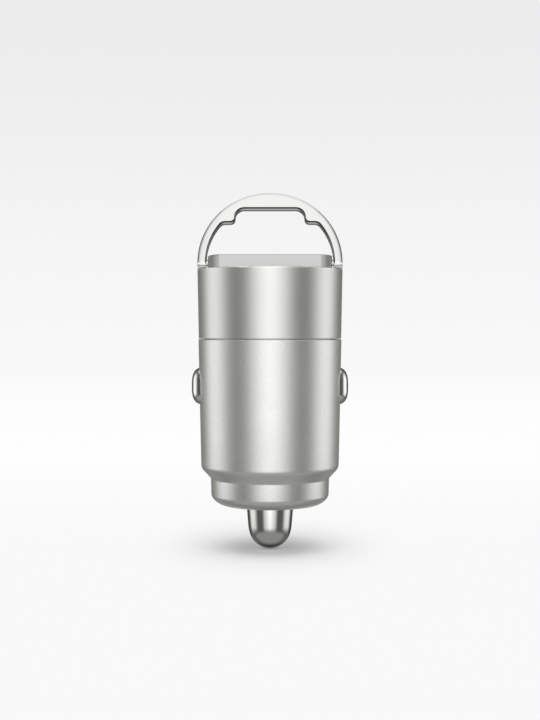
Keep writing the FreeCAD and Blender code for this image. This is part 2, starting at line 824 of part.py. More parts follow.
def make_usb_a_shell():
    body = new_body("usb_a_shell")
    width, height, metal = size("usb_a_width"), size("usb_a_height"), size("usb_a_sheet")
    outside = new_sketch(body, FLOOR_PLANE, "usb_a_shell_outline", usb_a_floor)
    draw_usb_a(outside, width, height)
    pad(body, outside, "usb_a_shell_block", "usb_a_depth")
    round_edges(body, "usb_a_shell_corners", "usb_a_corner", lambda edge: is_along(edge, UP))
    inside = new_sketch(body, FLOOR_PLANE, "usb_a_hollow_outline", port_seat)
    draw_usb_a(inside, width - metal * 2, height - metal * 2)
    pocket(body, inside, "usb_a_hollow", size("usb_a_depth") - metal)
    top = port_seat - size("leaf_drop")
    reach = size("leaf_length") + size("leaf_hook") + size("leaf_gap")
    half, spread = size("leaf_width") / 2 + size("leaf_gap"), size("leaf_pitch") / 2
    windows = new_sketch(body, FRONT_BACK_PLANE, "leaf_window_outline")
    for centre in (-spread, spread):
        draw_box(windows, centre - half, top - reach, centre + half, top)
    pocket(body, windows, "leaf_windows", symmetric=True)
    for side, label in ((-1, "left_leaves"), (1, "right_leaves")):
        leaves = new_sketch(body, SIDE_PLANE, label + "_outline", spread * side)
        draw_leaf(leaves, usb_a_middle - height / 2, 1)
        draw_leaf(leaves, usb_a_middle + height / 2, -1)
        pad(body, leaves, label, "leaf_width", symmetric=True)
    return body


def make_usb_a_tongue():
    body = new_body("usb_a_tongue")
    metal, floor = size("usb_a_sheet"), usb_a_base_floor
    base = new_sketch(body, FLOOR_PLANE, "usb_a_base_outline", floor)
    draw_usb_a(base, size("usb_a_width") - metal * 2, size("usb_a_height") - metal * 2)
    pad(body, base, "usb_a_base", "usb_a_base")
    half = size("usb_a_tongue_width") / 2
    tongue = new_sketch(body, FLOOR_PLANE, "usb_a_tongue_outline", floor)
    draw_box(tongue, -half, usb_a_tongue_face - size("usb_a_tongue_thickness"), half, usb_a_tongue_face)
    pad(body, tongue, "usb_a_tongue_plate", usb_a_tongue_tip - floor)
    return body


def make_usb_a_contacts():
    body = new_body("usb_a_contacts")
    half = size("usb_a_contact_width") / 2
    strips = new_sketch(body, FLOOR_PLANE, "usb_a_contact_outline", usb_a_contact_low)
    for pitch in (size("usb_a_outer_pitch") / 2, size("usb_a_inner_pitch") / 2):
        for centre in (-pitch, pitch):
            draw_box(strips, centre - half, usb_a_tongue_face, centre + half,
                     usb_a_tongue_face + size("usb_a_contact_thickness"))
    pad(body, strips, "usb_a_contact_strips",
        usb_a_tongue_tip - size("usb_a_contact_sink") - usb_a_contact_low)
    return body


def make_usb_c_shell():
    body = new_body("usb_c_shell")
    width, height, metal = size("usb_c_width"), size("usb_c_height"), size("usb_c_sheet")
    outside = new_sketch(body, FLOOR_PLANE, "usb_c_shell_outline", usb_c_floor)
    draw_slot(outside, 0, usb_c_middle, height, width, upright=False)
    pad(body, outside, "usb_c_shell_block", "usb_c_depth")
    inside = new_sketch(body, FLOOR_PLANE, "usb_c_hollow_outline", port_seat)
    draw_slot(inside, 0, usb_c_middle, height - metal * 2, width - metal * 2, upright=False)
    pocket(body, inside, "usb_c_hollow", size("usb_c_depth") - metal)
    return body


def make_usb_c_tongue():
    body = new_body("usb_c_tongue")
    width, height, metal = size("usb_c_width"), size("usb_c_height"), size("usb_c_sheet")
    floor = usb_c_base_floor
    base = new_sketch(body, FLOOR_PLANE, "usb_c_base_outline", floor)
    draw_slot(base, 0, usb_c_middle, height - metal * 2, width - metal * 2, upright=False)
    pad(body, base, "usb_c_base", "usb_c_base")
    half, thick = size("usb_c_tongue_width") / 2, size("usb_c_tongue_thickness") / 2
    tongue = new_sketch(body, FLOOR_PLANE, "usb_c_tongue_outline", floor)
    draw_box(tongue, -half, usb_c_middle - thick, half, usb_c_middle + thick)
    pad(body, tongue, "usb_c_tongue_plate", usb_c_tongue_tip - floor)
    return body


def make_usb_c_contacts():
    body = new_body("usb_c_contacts")
    half = size("usb_c_contact_width") / 2
    run = size("usb_c_pitch") * (USB_C_CONTACT_COUNT - 1)
    near = size("usb_c_tongue_thickness") / 2
    far = near + size("usb_c_contact_thickness")
    pads = new_sketch(body, FLOOR_PLANE, "usb_c_contact_outline", usb_c_contact_low)
    first = -run / 2
    draw_box(pads, first - half, usb_c_middle + near, first + half, usb_c_middle + far)
    draw_box(pads, first - half, usb_c_middle - far, first + half, usb_c_middle - near)
    pad(body, pads, "usb_c_contact_pair",
        usb_c_tongue_tip - size("usb_c_contact_sink") - usb_c_contact_low)
    repeat_along(body, "usb_c_contact_row", (pads, ["H_Axis"]), run, USB_C_CONTACT_COUNT)
    return body


# The tip, its bush and the spring behind it.

def make_nose_bush():
    body = new_body("nose_bush")
    profile = new_sketch(body, FRONT_BACK_PLANE, "bush_profile")
    draw_outline(profile, [
        (tip_bore, nose_face),
        (bush_spigot, nose_face),
        (bush_spigot, bush_shoulder),
        (bush_radius, bush_shoulder),
        (bush_radius, bush_top),
        (collar_bore, bush_top),
        (collar_bore, bush_ledge),
        (tip_bore, bush_ledge),
    ])
    revolve(body, profile, "bush_turning")
    return body


def make_tip_contact():
    body = new_body("tip_contact")
    profile = new_sketch(body, FRONT_BACK_PLANE, "tip_profile")
    dome = tip_radius - size("dome_inset")
    cone_top = nose_face - size("tip_cone_drop")
    collar_low = bush_ledge + size("collar_gap")
    collar_top = collar_low + size("collar_thickness")
    rise = cone_top - dome
    reach = root(tip_radius * tip_radius + rise * rise)
    turn = (atan2(rise.number, tip_radius.number) - acos(dome.number / reach.number)) / radians(1)
    bead = profile.addGeometry(arc((0, dome), dome, -QUARTER_TURN, turn))
    leave = profile.Geometry[bead].EndPoint
    points = [
        (leave.x, leave.y),
        (tip_radius, cone_top),
        (tip_radius, collar_low),
        (collar_radius, collar_low),
        (collar_radius, collar_top),
        (spring_bore, collar_top),
        (spring_bore, "tip_floor"),
        (0, "tip_floor"),
        (0, 0),
    ]
    lines = draw_path(profile, points)
    profile.addConstraint(Sketcher.Constraint("Coincident", bead, 1, -1, 1))
    profile.addConstraint(Sketcher.Constraint("PointOnObject", bead, 3, -2))
    hold_radius(profile, bead, dome)
    profile.addConstraint(Sketcher.Constraint("Tangent", bead, 2, lines[0], 1))
    for i in range(1, len(lines)):
        profile.addConstraint(Sketcher.Constraint("Coincident", lines[i - 1], 2, lines[i], 1))
        place(profile, lines[i], 1, *points[i])
    profile.addConstraint(Sketcher.Constraint("Coincident", lines[-1], 2, -1, 1))
    revolve(body, profile, "tip_turning")
    return body


def make_tip_spring():
    body = new_body("tip_spring")
    low = size("tip_floor") + wire_radius
    height = seat_low - wire_radius - low
    profile = new_sketch(body, FRONT_BACK_PLANE, "wire_outline")
    draw_circle(profile, coil_radius, low, wire_radius)
    coil = body.newObject("PartDesign::AdditiveHelix", "spring_coil")
    coil.Profile = profile
    coil.ReferenceAxis = (profile, ["V_Axis"])
    coil.Mode = "height-turns-angle"
    coil.Height = height.number
    coil.Turns = size("spring_turns").number
    bind(coil, "Height", height)
    bind(coil, "Turns", "spring_turns")
    doc.recompute()
    return body


def make_spring_seat():
    body = new_body("spring_seat")
    disc = new_sketch(body, FLOOR_PLANE, "seat_outline", seat_low)
    draw_circle(disc, 0, 0, seat_radius)
    pad(body, disc, "seat_disc", "seat_thickness")
    stem = new_sketch(body, FLOOR_PLANE, "stem_outline", seat_low)
    draw_circle(stem, 0, stem_offset, stem_radius)
    pad(body, stem, "seat_stem", carrier_top + size("stem_rise") - seat_low)
    return body


# The sprung side contacts. Both are drawn on the right and the left one is turned half round.

def make_strip(body, label):
    """The upright spring strip, with the half-round foot that it bends from."""
    profile = new_sketch(body, FRONT_BACK_PLANE, label + "_strip_profile")
    half = size("strip_thickness") / 2
    foot = profile.addGeometry(arc((strip_back + half, strip_foot), half, HALF_TURN, FULL_TURN))
    corners = [(strip_face, strip_foot), (strip_face, strip_top),
               (strip_back, strip_top), (strip_back, strip_foot)]
    lines = draw_path(profile, corners)
    close_chain(profile, [foot] + lines)
    for line, end, corner in zip((0, 1, 1, 2), (1, 1, 2, 2), corners):
        place(profile, lines[line], end, *corner)
    index = profile.addConstraint(Sketcher.Constraint("DistanceY", -1, 1, foot, 3, strip_foot.number))
    bind(profile, f"Constraints[{index}]", strip_foot)
    pad(body, profile, label + "_strip", "strip_width", symmetric=True)
    round_edges(body, label + "_strip_corners", "strip_corner",
                lambda edge: is_along(edge, ACROSS) and middle(edge).z > strip_top.number - NEAR)


def make_button(body, label):
    """The crowned button that stands out of the barrel's window."""
    profile = new_sketch(body, FRONT_BACK_PLANE, label + "_button_profile")
    button_tip = barrel_radius + size("button_proud")
    half, crown, slope = size("button_length") / 2, size("button_crown"), size("button_slope")
    flat = half - slope
    edge_face = button_tip - crown + root(crown * crown - slope * slope)
    turn = asin(slope.number / crown.number) / radians(1)
    lower = profile.addGeometry(arc((button_tip - crown, contact_height - flat), crown, -turn, 0))
    ends = [(button_tip, contact_height - flat), (button_tip, contact_height + flat)]
    front = draw_path(profile, ends)[0]
    upper = profile.addGeometry(arc((button_tip - crown, contact_height + flat), crown, 0, turn))
    corners = [(edge_face, contact_height + half), (strip_back, contact_height + half),
               (strip_back, contact_height - half), (edge_face, contact_height - half)]
    sides = draw_path(profile, corners)
    profile.addConstraint(Sketcher.Constraint("Tangent", lower, 2, front, 1))
    profile.addConstraint(Sketcher.Constraint("Tangent", front, 2, upper, 1))
    profile.addConstraint(Sketcher.Constraint("Equal", lower, upper))
    hold_radius(profile, lower, crown)
    for before, after in zip([upper] + sides, sides + [lower]):
        profile.addConstraint(Sketcher.Constraint("Coincident", before, 2, after, 1))
    place(profile, front, 1, *ends[0])
    place(profile, front, 2, *ends[1])
    place(profile, sides[1], 1, *corners[1])
    place(profile, sides[1], 2, *corners[2])
    profile.addConstraint(Sketcher.Constraint("Horizontal", sides[0]))
    profile.addConstraint(Sketcher.Constraint("Horizontal", sides[2]))
    pad(body, profile, label + "_button", "button_width", symmetric=True)
    side = size("button_width").number / 2
    round_edges(body, label + "_button_corners", "button_rounding",
                lambda edge: is_along(edge, ACROSS) and abs(abs(middle(edge).y) - side) < NEAR
                and middle(edge).x > strip_face.number + NEAR)
    round_edges(body, label + "_button_crown", "crown_rounding",
                lambda edge: middle(edge).x > edge_face.number + NEAR
                and abs(middle(edge).y) > side - size("button_rounding").number - NEAR)


def make_ground_contact(label, turned):
    body = new_body(label)
    make_strip(body, label)
    make_button(body, label)
    if turned:
        body.Placement = FreeCAD.Placement(FreeCAD.Vector(), FreeCAD.Rotation(UP, HALF_TURN))
    return body


# The frame and the board.

def make_board_carrier():
    body = new_body("board_carrier")
    disc = new_sketch(body, FLOOR_PLANE, "carrier_outline", carrier_low)
    draw_circle(disc, 0, 0, carrier_radius)
    pad(body, disc, "carrier_floor", "carrier_thickness")
    boss = new_sketch(body, FLOOR_PLANE, "boss_outline", bush_top)
    draw_circle(boss, 0, 0, bush_radius)
    pad(body, boss, "carrier_boss", "boss_height")
    rails = new_sketch(body, FLOOR_PLANE, "rail_outline", carrier_low)
    board_edge = size("board_width") / 2
    near, far = board_edge - size("rail_lap"), board_edge + size("rail_wall")
    front, back = board_front - size("rail_cheek"), board_back + size("rail_cheek")
    rail_top = usb_a_floor - size("rail_headroom")
    draw_box(rails, near, front, far, back)
    draw_box(rails, -far, front, -near, back)
    pad(body, rails, "carrier_rails", rail_top - carrier_low)
    gap = size("groove_clearance")
    groove = new_sketch(body, FLOOR_PLANE, "groove_outline", rail_top)
    draw_box(groove, -board_edge - gap, board_front - gap, board_edge + gap, board_back + gap)
    pocket(body, groove, "board_groove", rail_top - board_foot)
    recess = new_sketch(body, FLOOR_PLANE, "recess_outline", bush_top)
    draw_circle(recess, 0, 0, seat_radius + size("seat_clearance"))
    pocket(body, recess, "seat_recess", size("seat_sink") + size("seat_thickness"), back=True)
    hole = new_sketch(body, FLOOR_PLANE, "stem_hole_outline", carrier_top)
    draw_circle(hole, 0, stem_offset, stem_radius + size("seat_clearance"))
    pocket(body, hole, "stem_hole")
    half = size("strip_width") / 2 + size("foot_end_gap")
    pinch = strip_back - size("foot_gap")
    relief = size("carrier_thickness") - size("relief_rise")
    for label, depth, inner in (("foot_notches", size("carrier_thickness"), pinch),
                                ("relief_notches", relief, pinch - size("relief_depth"))):
        notch = new_sketch(body, FLOOR_PLANE, label + "_outline", carrier_top)
        draw_box(notch, inner, -half, carrier_radius, half)
        draw_box(notch, -carrier_radius, -half, -inner, half)
        pocket(body, notch, label, depth)
    return body


def make_circuit_board():
    body = new_body("circuit_board")
    half = size("board_width") / 2
    outline = new_sketch(body, FLOOR_PLANE, "board_outline", board_foot)
    draw_box(outline, -half, board_front, half, board_back)
    pad(body, outline, "board_plate", flange_low - size("board_headroom") - board_foot)
    return body


# The parts on the board. Each is drawn lying on the floor and then set up against the board.

def set_on_board(body, across, up, behind=False):
    """Sets a part up against the board's front or back."""
    face = board_back if behind else board_front
    turn = -QUARTER_TURN if behind else QUARTER_TURN
    across, up = size(across), size(up)
    body.Placement = FreeCAD.Placement(FreeCAD.Vector(across.number, face.number, up.number),
                                       FreeCAD.Rotation(ACROSS, turn))
    bind(body, "Placement.Base.x", across)
    bind(body, "Placement.Base.y", face)
    bind(body, "Placement.Base.z", up)


def make_block(label, width, length, height, lift=ZERO):
    """A block on the floor, centred on the origin."""
    body = new_body(label)
    add_block(body, label + "_block", width, length, height, lift)
    return body


def add_block(body, label, width, length, height, lift=ZERO, shift=ZERO):
    half_width, half_length = size(width) / 2, size(length) / 2
    outline = new_sketch(body, FLOOR_PLANE, label + "_outline", lift)
    draw_box(outline, -half_width, shift - half_length, half_width, shift + half_length)
    pad(body, outline, label, height)
    return outline


def make_power_inductor():
    body = make_block("power_inductor", "inductor_width", "inductor_width", "inductor_height")
    round_edges(body, "inductor_corners", "inductor_corner", lambda edge: is_along(edge, UP))
    top = size("inductor_height").number
    round_edges(body, "inductor_top_edge", "inductor_top_edge",
                lambda edge: abs(middle(edge).z - top) < NEAR)
    reach = size("inductor_width") / 2
    set_on_board(body, "inductor_x", usb_a_floor - size("inductor_headroom") - reach)
    return body


def make_can(label, kind, behind):
    """A can capacitor on its square base, with the crimp that holds its seal."""
    dia, height = size(kind + "_dia"), size(kind + "_height")
    base, crimp, radius = size("can_base"), size("can_crimp"), dia / 2
    side = dia + size("can_base_margin") * 2
    body = make_block(label, side, side, base)
    middle_line = base + size("can_crimp_rise")
    profile = new_sketch(body, FRONT_BACK_PLANE, label + "_profile")
    draw_outline(profile, [(0, base), (radius, base), (radius, middle_line - crimp),
                           (radius - crimp, middle_line), (radius, middle_line + crimp),
                           (radius, height), (0, height)])
    revolve(body, profile, label + "_can")
    round_edges(body, label + "_rim", "can_rim", lambda edge: is_ring_edge(edge, radius, height))
    set_on_board(body, kind + "_x", carrier_top + size(kind + "_rise"), behind)
    return body


def make_input_fuse():
    side, length, cap = size("fuse_width"), size("fuse_length"), size("fuse_cap")
    step = size("fuse_cap_rise")
    body = make_block("input_fuse", side - step * 2, length, side - step * 2, lift=step)
    add_block(body, "fuse_cap", side, cap, side, shift=(length - cap) / 2)
    add_block(body, "fuse_foot", side, cap, side, shift=(cap - length) / 2)
    set_on_board(body, "fuse_x", carrier_top + size("fuse_rise"))
    return body


def make_controller_chip():
    leg, reach = size("chip_pin_width"), size("chip_pin_reach")
    width, length = size("chip_width"), size("chip_length")
    body = make_block("controller_chip", width, length, "chip_height")
    run = size("chip_pin_pitch") * (CHIP_LEG_COUNT - 1)
    legs = add_block(body, "chip_pin_pair", width + reach * 2, leg, "chip_pin_height", shift=-run / 2)
    repeat_along(body, "chip_pins", (legs, ["V_Axis"]), run, CHIP_LEG_COUNT)
    set_on_board(body, "chip_x", carrier_top + size("chip_rise"), behind=True)
    return body


def make_power_switch():
    width, length, tab = size("switch_width"), size("switch_length"), size("switch_tab_length")
    body = make_block("power_switch", width, length, "switch_height")
    add_block(body, "switch_tab", width, tab, "switch_tab_height", shift=-(length + tab) / 2)
    set_on_board(body, "switch_x", carrier_top + size("switch_rise"), behind=True)
    return body


def finish():
    """Stops at any faulty object, then writes one file for each piece."""
    makers = [
        make_barrel, make_head_shell, make_port_insert, make_pull_ring,
        lambda: make_ring_pin("ring_pin_right", 1), lambda: make_ring_pin("ring_pin_left", -1),
        make_nose_bush, make_tip_contact, make_tip_spring, make_spring_seat,
        lambda: make_ground_contact("ground_contact_right", False),
        lambda: make_ground_contact("ground_contact_left", True),
        make_board_carrier, make_circuit_board, make_usb_a_shell, make_usb_a_tongue,
        make_usb_a_contacts, make_usb_c_shell, make_usb_c_tongue, make_usb_c_contacts,
        make_power_inductor, lambda: make_can("input_capacitor", "input_can", False),
        lambda: make_can("output_capacitor", "output_can", True), make_input_fuse,
        make_controller_chip, make_power_switch,
    ]
    bodies = [make() for make in makers]
    doc.recompute()
    for item in doc.Objects:
        if "Invalid" in item.State or "Error" in item.State:
            raise ValueError(f"{item.Label} is faulty")
    for body in bodies:
        if body.Shape.isNull() or not body.Shape.isValid():
            raise ValueError(f"{body.Label} has a faulty shape")
    os.makedirs("parts", exist_ok=True)
    for body in bodies:
        body.Shape.exportStep(f"parts/{body.Label}.step")


finish()
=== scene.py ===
"""The looks of a small all-metal car charger plug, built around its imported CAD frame.

It stands on its tip on a plain pale floor, with the pull ring up, as a product photograph shows it.
The tip's end is the origin, +Z is up, the front of the plug looks along -Y and the two side contacts
lie on the X axis. Places are in metres, but the outlines of the pieces are in millimetres until their
vertices are made.
"""

import json
import math

import bmesh
import bpy
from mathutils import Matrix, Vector


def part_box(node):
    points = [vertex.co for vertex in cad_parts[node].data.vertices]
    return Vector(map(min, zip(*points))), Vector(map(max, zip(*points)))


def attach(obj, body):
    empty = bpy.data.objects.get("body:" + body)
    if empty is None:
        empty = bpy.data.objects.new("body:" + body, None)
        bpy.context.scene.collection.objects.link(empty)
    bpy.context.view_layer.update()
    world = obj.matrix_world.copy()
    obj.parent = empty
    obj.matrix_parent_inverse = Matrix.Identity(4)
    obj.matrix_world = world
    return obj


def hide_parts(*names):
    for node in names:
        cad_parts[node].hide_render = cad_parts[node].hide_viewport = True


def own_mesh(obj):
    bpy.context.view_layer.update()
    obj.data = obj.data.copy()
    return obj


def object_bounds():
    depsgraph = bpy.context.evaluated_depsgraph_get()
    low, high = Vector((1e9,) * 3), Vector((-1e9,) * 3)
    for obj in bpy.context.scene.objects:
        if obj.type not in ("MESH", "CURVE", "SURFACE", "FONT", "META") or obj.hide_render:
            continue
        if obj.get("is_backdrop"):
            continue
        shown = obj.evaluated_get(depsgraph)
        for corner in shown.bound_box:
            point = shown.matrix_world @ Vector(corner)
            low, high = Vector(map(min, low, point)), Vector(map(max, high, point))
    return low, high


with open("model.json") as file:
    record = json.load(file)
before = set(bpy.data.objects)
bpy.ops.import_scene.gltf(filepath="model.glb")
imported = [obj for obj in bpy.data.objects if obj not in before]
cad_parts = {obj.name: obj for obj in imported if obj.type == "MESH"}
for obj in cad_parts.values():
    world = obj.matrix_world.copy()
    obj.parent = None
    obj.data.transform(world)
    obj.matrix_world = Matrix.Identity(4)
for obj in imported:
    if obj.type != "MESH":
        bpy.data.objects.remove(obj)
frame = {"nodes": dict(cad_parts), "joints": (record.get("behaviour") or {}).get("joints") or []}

MM = 0.001
MICRON = 1e-6

frame_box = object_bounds()
scene = bpy.context.scene


# The maths of a finish, written as sums

class Value:
    """One output of a finish's nodes. Sums on it add the Math nodes that work them out."""

    def __init__(self, tree, socket):
        self.tree = tree
        self.socket = socket

    def __add__(self, other):
        return self.tree.maths("ADD", self, other)

    def __radd__(self, other):
        return self.tree.maths("ADD", other, self)

    def __sub__(self, other):
        return self.tree.maths("SUBTRACT", self, other)

    def __rsub__(self, other):
        return self.tree.maths("SUBTRACT", other, self)

    def __mul__(self, other):
        return self.tree.maths("MULTIPLY", self, other)

    def __rmul__(self, other):
        return self.tree.maths("MULTIPLY", other, self)

    def __pow__(self, other):
        return self.tree.maths("POWER", self, other)

    def __rpow__(self, other):
        return self.tree.maths("POWER", other, self)

    def size(self):
        """Without its sign."""
        return self.tree.maths("ABSOLUTE", self)

    def bounded(self):
        """Kept between 0 and 1."""
        return self.tree.add("ShaderNodeClamp", {}, {"Value": self})

    def step(self, start, end, low=0.0, high=1.0):
        """A smooth step from low at start to high at end."""
        settings = {"interpolation_type": "SMOOTHSTEP"}
        values = {"Value": self, "From Min": start, "From Max": end, "To Min": low, "To Max": high}
        if start > end:
            values.update({"From Min": end, "From Max": start, "To Min": high, "To Max": low})
        return self.tree.add("ShaderNodeMapRange", settings, values)

    def above(self, limit, fade):
        """1 above the limit and 0 below it, and in between within fade of it."""
        return self.step(limit - fade, limit + fade)

    def band(self, middle, half, fade):
        """1 within half of the middle, fading to 0 beyond it."""
        return (self - middle).size().step(half + fade, half)


class Tree:
    """The nodes of one finish, of the floor or of the room around it."""

    def __init__(self, owner):
        owner.use_nodes = True
        self.nodes = owner.node_tree.nodes
        self.links = owner.node_tree.links
        self.nodes.clear()

    def add(self, kind, settings=None, values=None, output=0):
        """Adds a node: first its settings, then the values or links of its sockets."""
        node = self.nodes.new(kind)
        for name, setting in (settings or {}).items():
            setattr(node, name, setting)
        for name, value in (values or {}).items():
            if isinstance(value, Value):
                self.links.new(value.socket, node.inputs[name])
            else:
                node.inputs[name].default_value = value
        return Value(self, node.outputs[output]) if node.outputs else None

    def maths(self, operation, first, second=0.0):
        return self.add("ShaderNodeMath", {"operation": operation}, {0: first, 1: second})

    def mix(self, share, first, second, blend="MIX"):
        """The first colour, with a share of the second."""
        settings = {"data_type": "RGBA", "blend_type": blend}
        return self.add("ShaderNodeMix", settings, {0: share, 6: first, 7: second}, output=2)

    def grey(self, value):
        """A grey of that value."""
        return self.add("ShaderNodeCombineColor", {}, {0: value, 1: value, 2: value})

    def place(self):
        """The point of the surface in the part's own frame, in metres."""
        return self.add("ShaderNodeTexCoord", output="Object")

    def parts_of(self, vector):
        """How far a vector goes across, back and up."""
        node = self.add("ShaderNodeSeparateXYZ", {}, {0: vector}).socket.node
        return [Value(self, output) for output in node.outputs]

    def stretched(self, vector, across, back, up):
        """A vector scaled on each axis by its own share, for drawn-out patterns."""
        return self.add("ShaderNodeVectorMath", {"operation": "MULTIPLY"},
                        {0: vector, 1: (across, back, up)})

    def noise(self, vector, size, detail=2.0, roughness=0.5):
        """A cloudy pattern whose spots are about size across."""
        values = {"Vector": vector, "Scale": 1.0 / size, "Detail": detail, "Roughness": roughness}
        return self.add("ShaderNodeTexNoise", {"noise_dimensions": "3D"}, values)

    def bump(self, height, depth):
        """The relief that a height from 0 to 1 gives, depth metres deep."""
        return self.add("ShaderNodeBump", {}, {"Height": height, "Distance": depth, "Strength": 1.0})

    def surface(self, values):
        """The finish's one shader and the output that takes it."""
        shader = self.add("ShaderNodeBsdfPrincipled", {}, values)
        self.add("ShaderNodeOutputMaterial", {}, {"Surface": shader})


def new_finish(name):
    finish = bpy.data.materials.new(name)
    return finish, Tree(finish)


def tint(grey, cast=0.0):
    """A near-neutral grey: the cast takes a share of its blue and a fifth of that of its red."""
    return (grey * (1 - 0.2 * cast), grey, grey * (1 - cast), 1.0)


def shaded(colour, shares):
    """A colour with only those shares of its red, green and blue."""
    return tuple(part * share for part, share in zip(colour, shares)) + (1.0,)


# Where the finishes change over the head and the ring, and where shade and a highlight are painted on them,
# with fades as where each starts and is full

JOINTS = {joint["name"]: joint for joint in frame["joints"]}
RING_SWING = JOINTS["ring_swing"]
HINGE_HEIGHT = RING_SWING["pos_m"][2]
RING_LEAN = math.radians(RING_SWING["range_deg"][1] - 90)        # at that limit the ring lies flat
RING_FACE = (0.0, -math.cos(RING_LEAN), math.sin(RING_LEAN))
RING_RADIUS = 10.995 * MM
# where the ring's painted shade lies: a dark line across its feet, a soft line along its outside, its dark
# inner walls
FOOT_LINE_HEIGHT = 42.87 * MM
FOOT_LINE = (FOOT_LINE_HEIGHT, 0.04 * MM, 0.06 * MM)
OUTER_LINE = (RING_RADIUS - 0.52 * MM, RING_RADIUS - 0.18 * MM)
OUTER_LINE_DOWN = (10.0 * MM, 3.0 * MM)
OUTER_SHADE = (RING_RADIUS - 1.0 * MM, RING_RADIUS - 0.8 * MM)
OUTER_SHADE_DOWN = (9.0 * MM, 3.0 * MM)
WALL_FRONT = (0.40 * MM, 0.58 * MM)
WALL_BACK = (0.14 * MM, -0.06 * MM)
WALL_UP = (2.0 * MM, 8.0 * MM)

PLATFORM_FOOT = 42.3 * MM
# a painted highlight along the edge round the head's rim
RIM_HIGHLIGHT = (PLATFORM_FOOT - 0.08 * MM, 0.10 * MM, 0.06 * MM)
SCUFF_TOP = (FOOT_LINE_HEIGHT, FOOT_LINE_HEIGHT - 0.06 * MM)
SCUFF_FOOT = (PLATFORM_FOOT, PLATFORM_FOOT + 0.04 * MM)


def above_rim(tree):
    """The platform, whose colour is darker than the shell under it."""
    return tree.parts_of(tree.place())[2].above(PLATFORM_FOOT, 0.01 * MM)


def painted_ring_shade(tree):
    """Painted shade on the ring's cut edges: a soft dark line along its outside, which gets weaker up the
    ring, dark inner walls with a bright line left along their middle, and a dark line painted across its
    feet."""
    normal = tree.add("ShaderNodeTexCoord", output="Normal")
    facing = tree.add("ShaderNodeVectorMath", {"operation": "DOT_PRODUCT"}, {0: normal, 1: RING_FACE},
                      output="Value").size()
    across, back, up = tree.parts_of(tree.place())
    over_hinge = up - HINGE_HEIGHT
    along = over_hinge * math.cos(RING_LEAN) + back * math.sin(RING_LEAN)
    forward = over_hinge * math.sin(RING_LEAN) - back * math.cos(RING_LEAN)
    round_part = tree.maths("MAXIMUM", along, 0.0)
    from_hinge = (across * across + round_part * round_part) ** 0.5
    outside = from_hinge.step(*OUTER_LINE)
    line = outside * along.step(*OUTER_LINE_DOWN, 0.22, 0.65) * facing.step(0.05, 0.3)
    shade = from_hinge.step(*OUTER_SHADE) * along.step(*OUTER_SHADE_DOWN, 0.0, 0.1)
    wall = forward.step(*WALL_FRONT, 0.05, 1.0) + forward.step(*WALL_BACK, 0.0, 0.95)
    edge = facing.step(0.997, 0.93) * wall * (1.0 - outside)
    edge = edge * along.step(*WALL_UP, 0.85, 1.0)
    legs = up.above(HINGE_HEIGHT, 0.1 * MM)
    foot_line = 0.6 * up.band(*FOOT_LINE)
    return ((line + shade + edge) * legs + foot_line).bounded()


# The finishes

METAL_SHARE = 0.95        # the rest is scattered by the thin anodised layer
BLAST_GRAIN = 0.15 * MM
BLAST_DENT = 0.36 * MM
BLAST_CLOUD = 4.0 * MM
BLAST_DEPTH = 4.0 * MICRON
SATIN_GRAIN = 0.10 * MM
SATIN_CLOUD = 5.0 * MM
SATIN_DEPTH = 1.5 * MICRON
HAIRLINE = 0.5 * MM
HAIRLINE_DEPTH = 0.6 * MICRON
WORN_SPOT = 1.2 * MM
WORN = (0.93, 0.93, 0.92)
# painted shade: what is left of the colour at the tip's end, a painted reflection of its contact shadow
PAINTED_END_SHADE = (0.30, 0.30, 0.30)
# painted shade: what is left of the colour on the side contacts' flanks, close to the window's edge
PAINTED_FLANK_SHADE = (0.25, 0.25, 0.25)
MOULD_GRAIN = 0.12 * MM
MOULD_CLOUD = 3.0 * MM
MOULD_DEPTH = 3.0 * MICRON
WEAVE = 0.4 * MM
TRACK_GAP = 1.6 * MM
TRACK_DEPTH = 20.0 * MICRON


def blasted_metal(name, grey, cast, roughness):
    """Bead-blasted and anodised aluminium: a visible grain of small dents, and slight clouds."""
    finish, tree = new_finish(name)
    point = tree.place()
    grains = tree.noise(point, BLAST_GRAIN, 3.0, 0.6)
    dents = tree.noise(point, BLAST_DENT, 1.0)
    clouds = tree.noise(point, BLAST_CLOUD)
    tone = tree.mix(grains, tint(grey * 0.92, cast), tint(min(grey * 1.06, 0.98), cast))
    tone = tree.mix(dents.step(0.40, 0.68, 0.0, 0.5), tone, tint(grey * 0.90, cast))
    tone = tree.mix(clouds.step(0.35, 0.75, 0.0, 0.25), tone, tint(grey * 0.96, cast + 0.02))
    tree.surface({
        "Base Color": tone,
        "Metallic": METAL_SHARE,
        "Roughness": roughness + 0.10 * (grains - 0.5) + 0.05 * (clouds - 0.5),
        "Normal": tree.bump(grains + dents, BLAST_DEPTH),
    })
    return finish


def satin_metal(name, grey, cast, roughness, zone_of, darker, crisp=0.0, scuff=0.0):
    """Fine satin aluminium with a faint grain. One zone is darker and more polished, and on the ring that
    zone is painted shade. The edge round the head's rim gets a painted highlight, and the part just above
    that rim can be scuffed to a duller metal."""
    finish, tree = new_finish(name)
    point = tree.place()
    grains = tree.noise(tree.stretched(point, 1.0, 1.0, 0.4), SATIN_GRAIN)
    clouds = tree.noise(point, SATIN_CLOUD)
    zone = zone_of(tree)
    tone = tree.mix(grains, tint(grey * 0.96, cast), tint(grey * 1.03, cast))
    tone = tree.mix(zone, tone, tint(grey * (1.0 - darker)))
    up = tree.parts_of(point)[2]
    # a painted highlight brightens the edge round the head's rim
    tone = tree.mix(up.band(*RIM_HIGHLIGHT), tone, tint(min(grey * 1.22, 0.97)))
    scuffed = up.step(*SCUFF_TOP) * up.step(*SCUFF_FOOT)
    tree.surface({
        "Base Color": tone,
        "Metallic": METAL_SHARE - scuff * scuffed,
        "Roughness": roughness + 0.06 * (grains - 0.5) + 0.05 * (clouds - 0.5) - crisp * zone,
        "Normal": tree.bump(grains, SATIN_DEPTH),
    })
    return finish


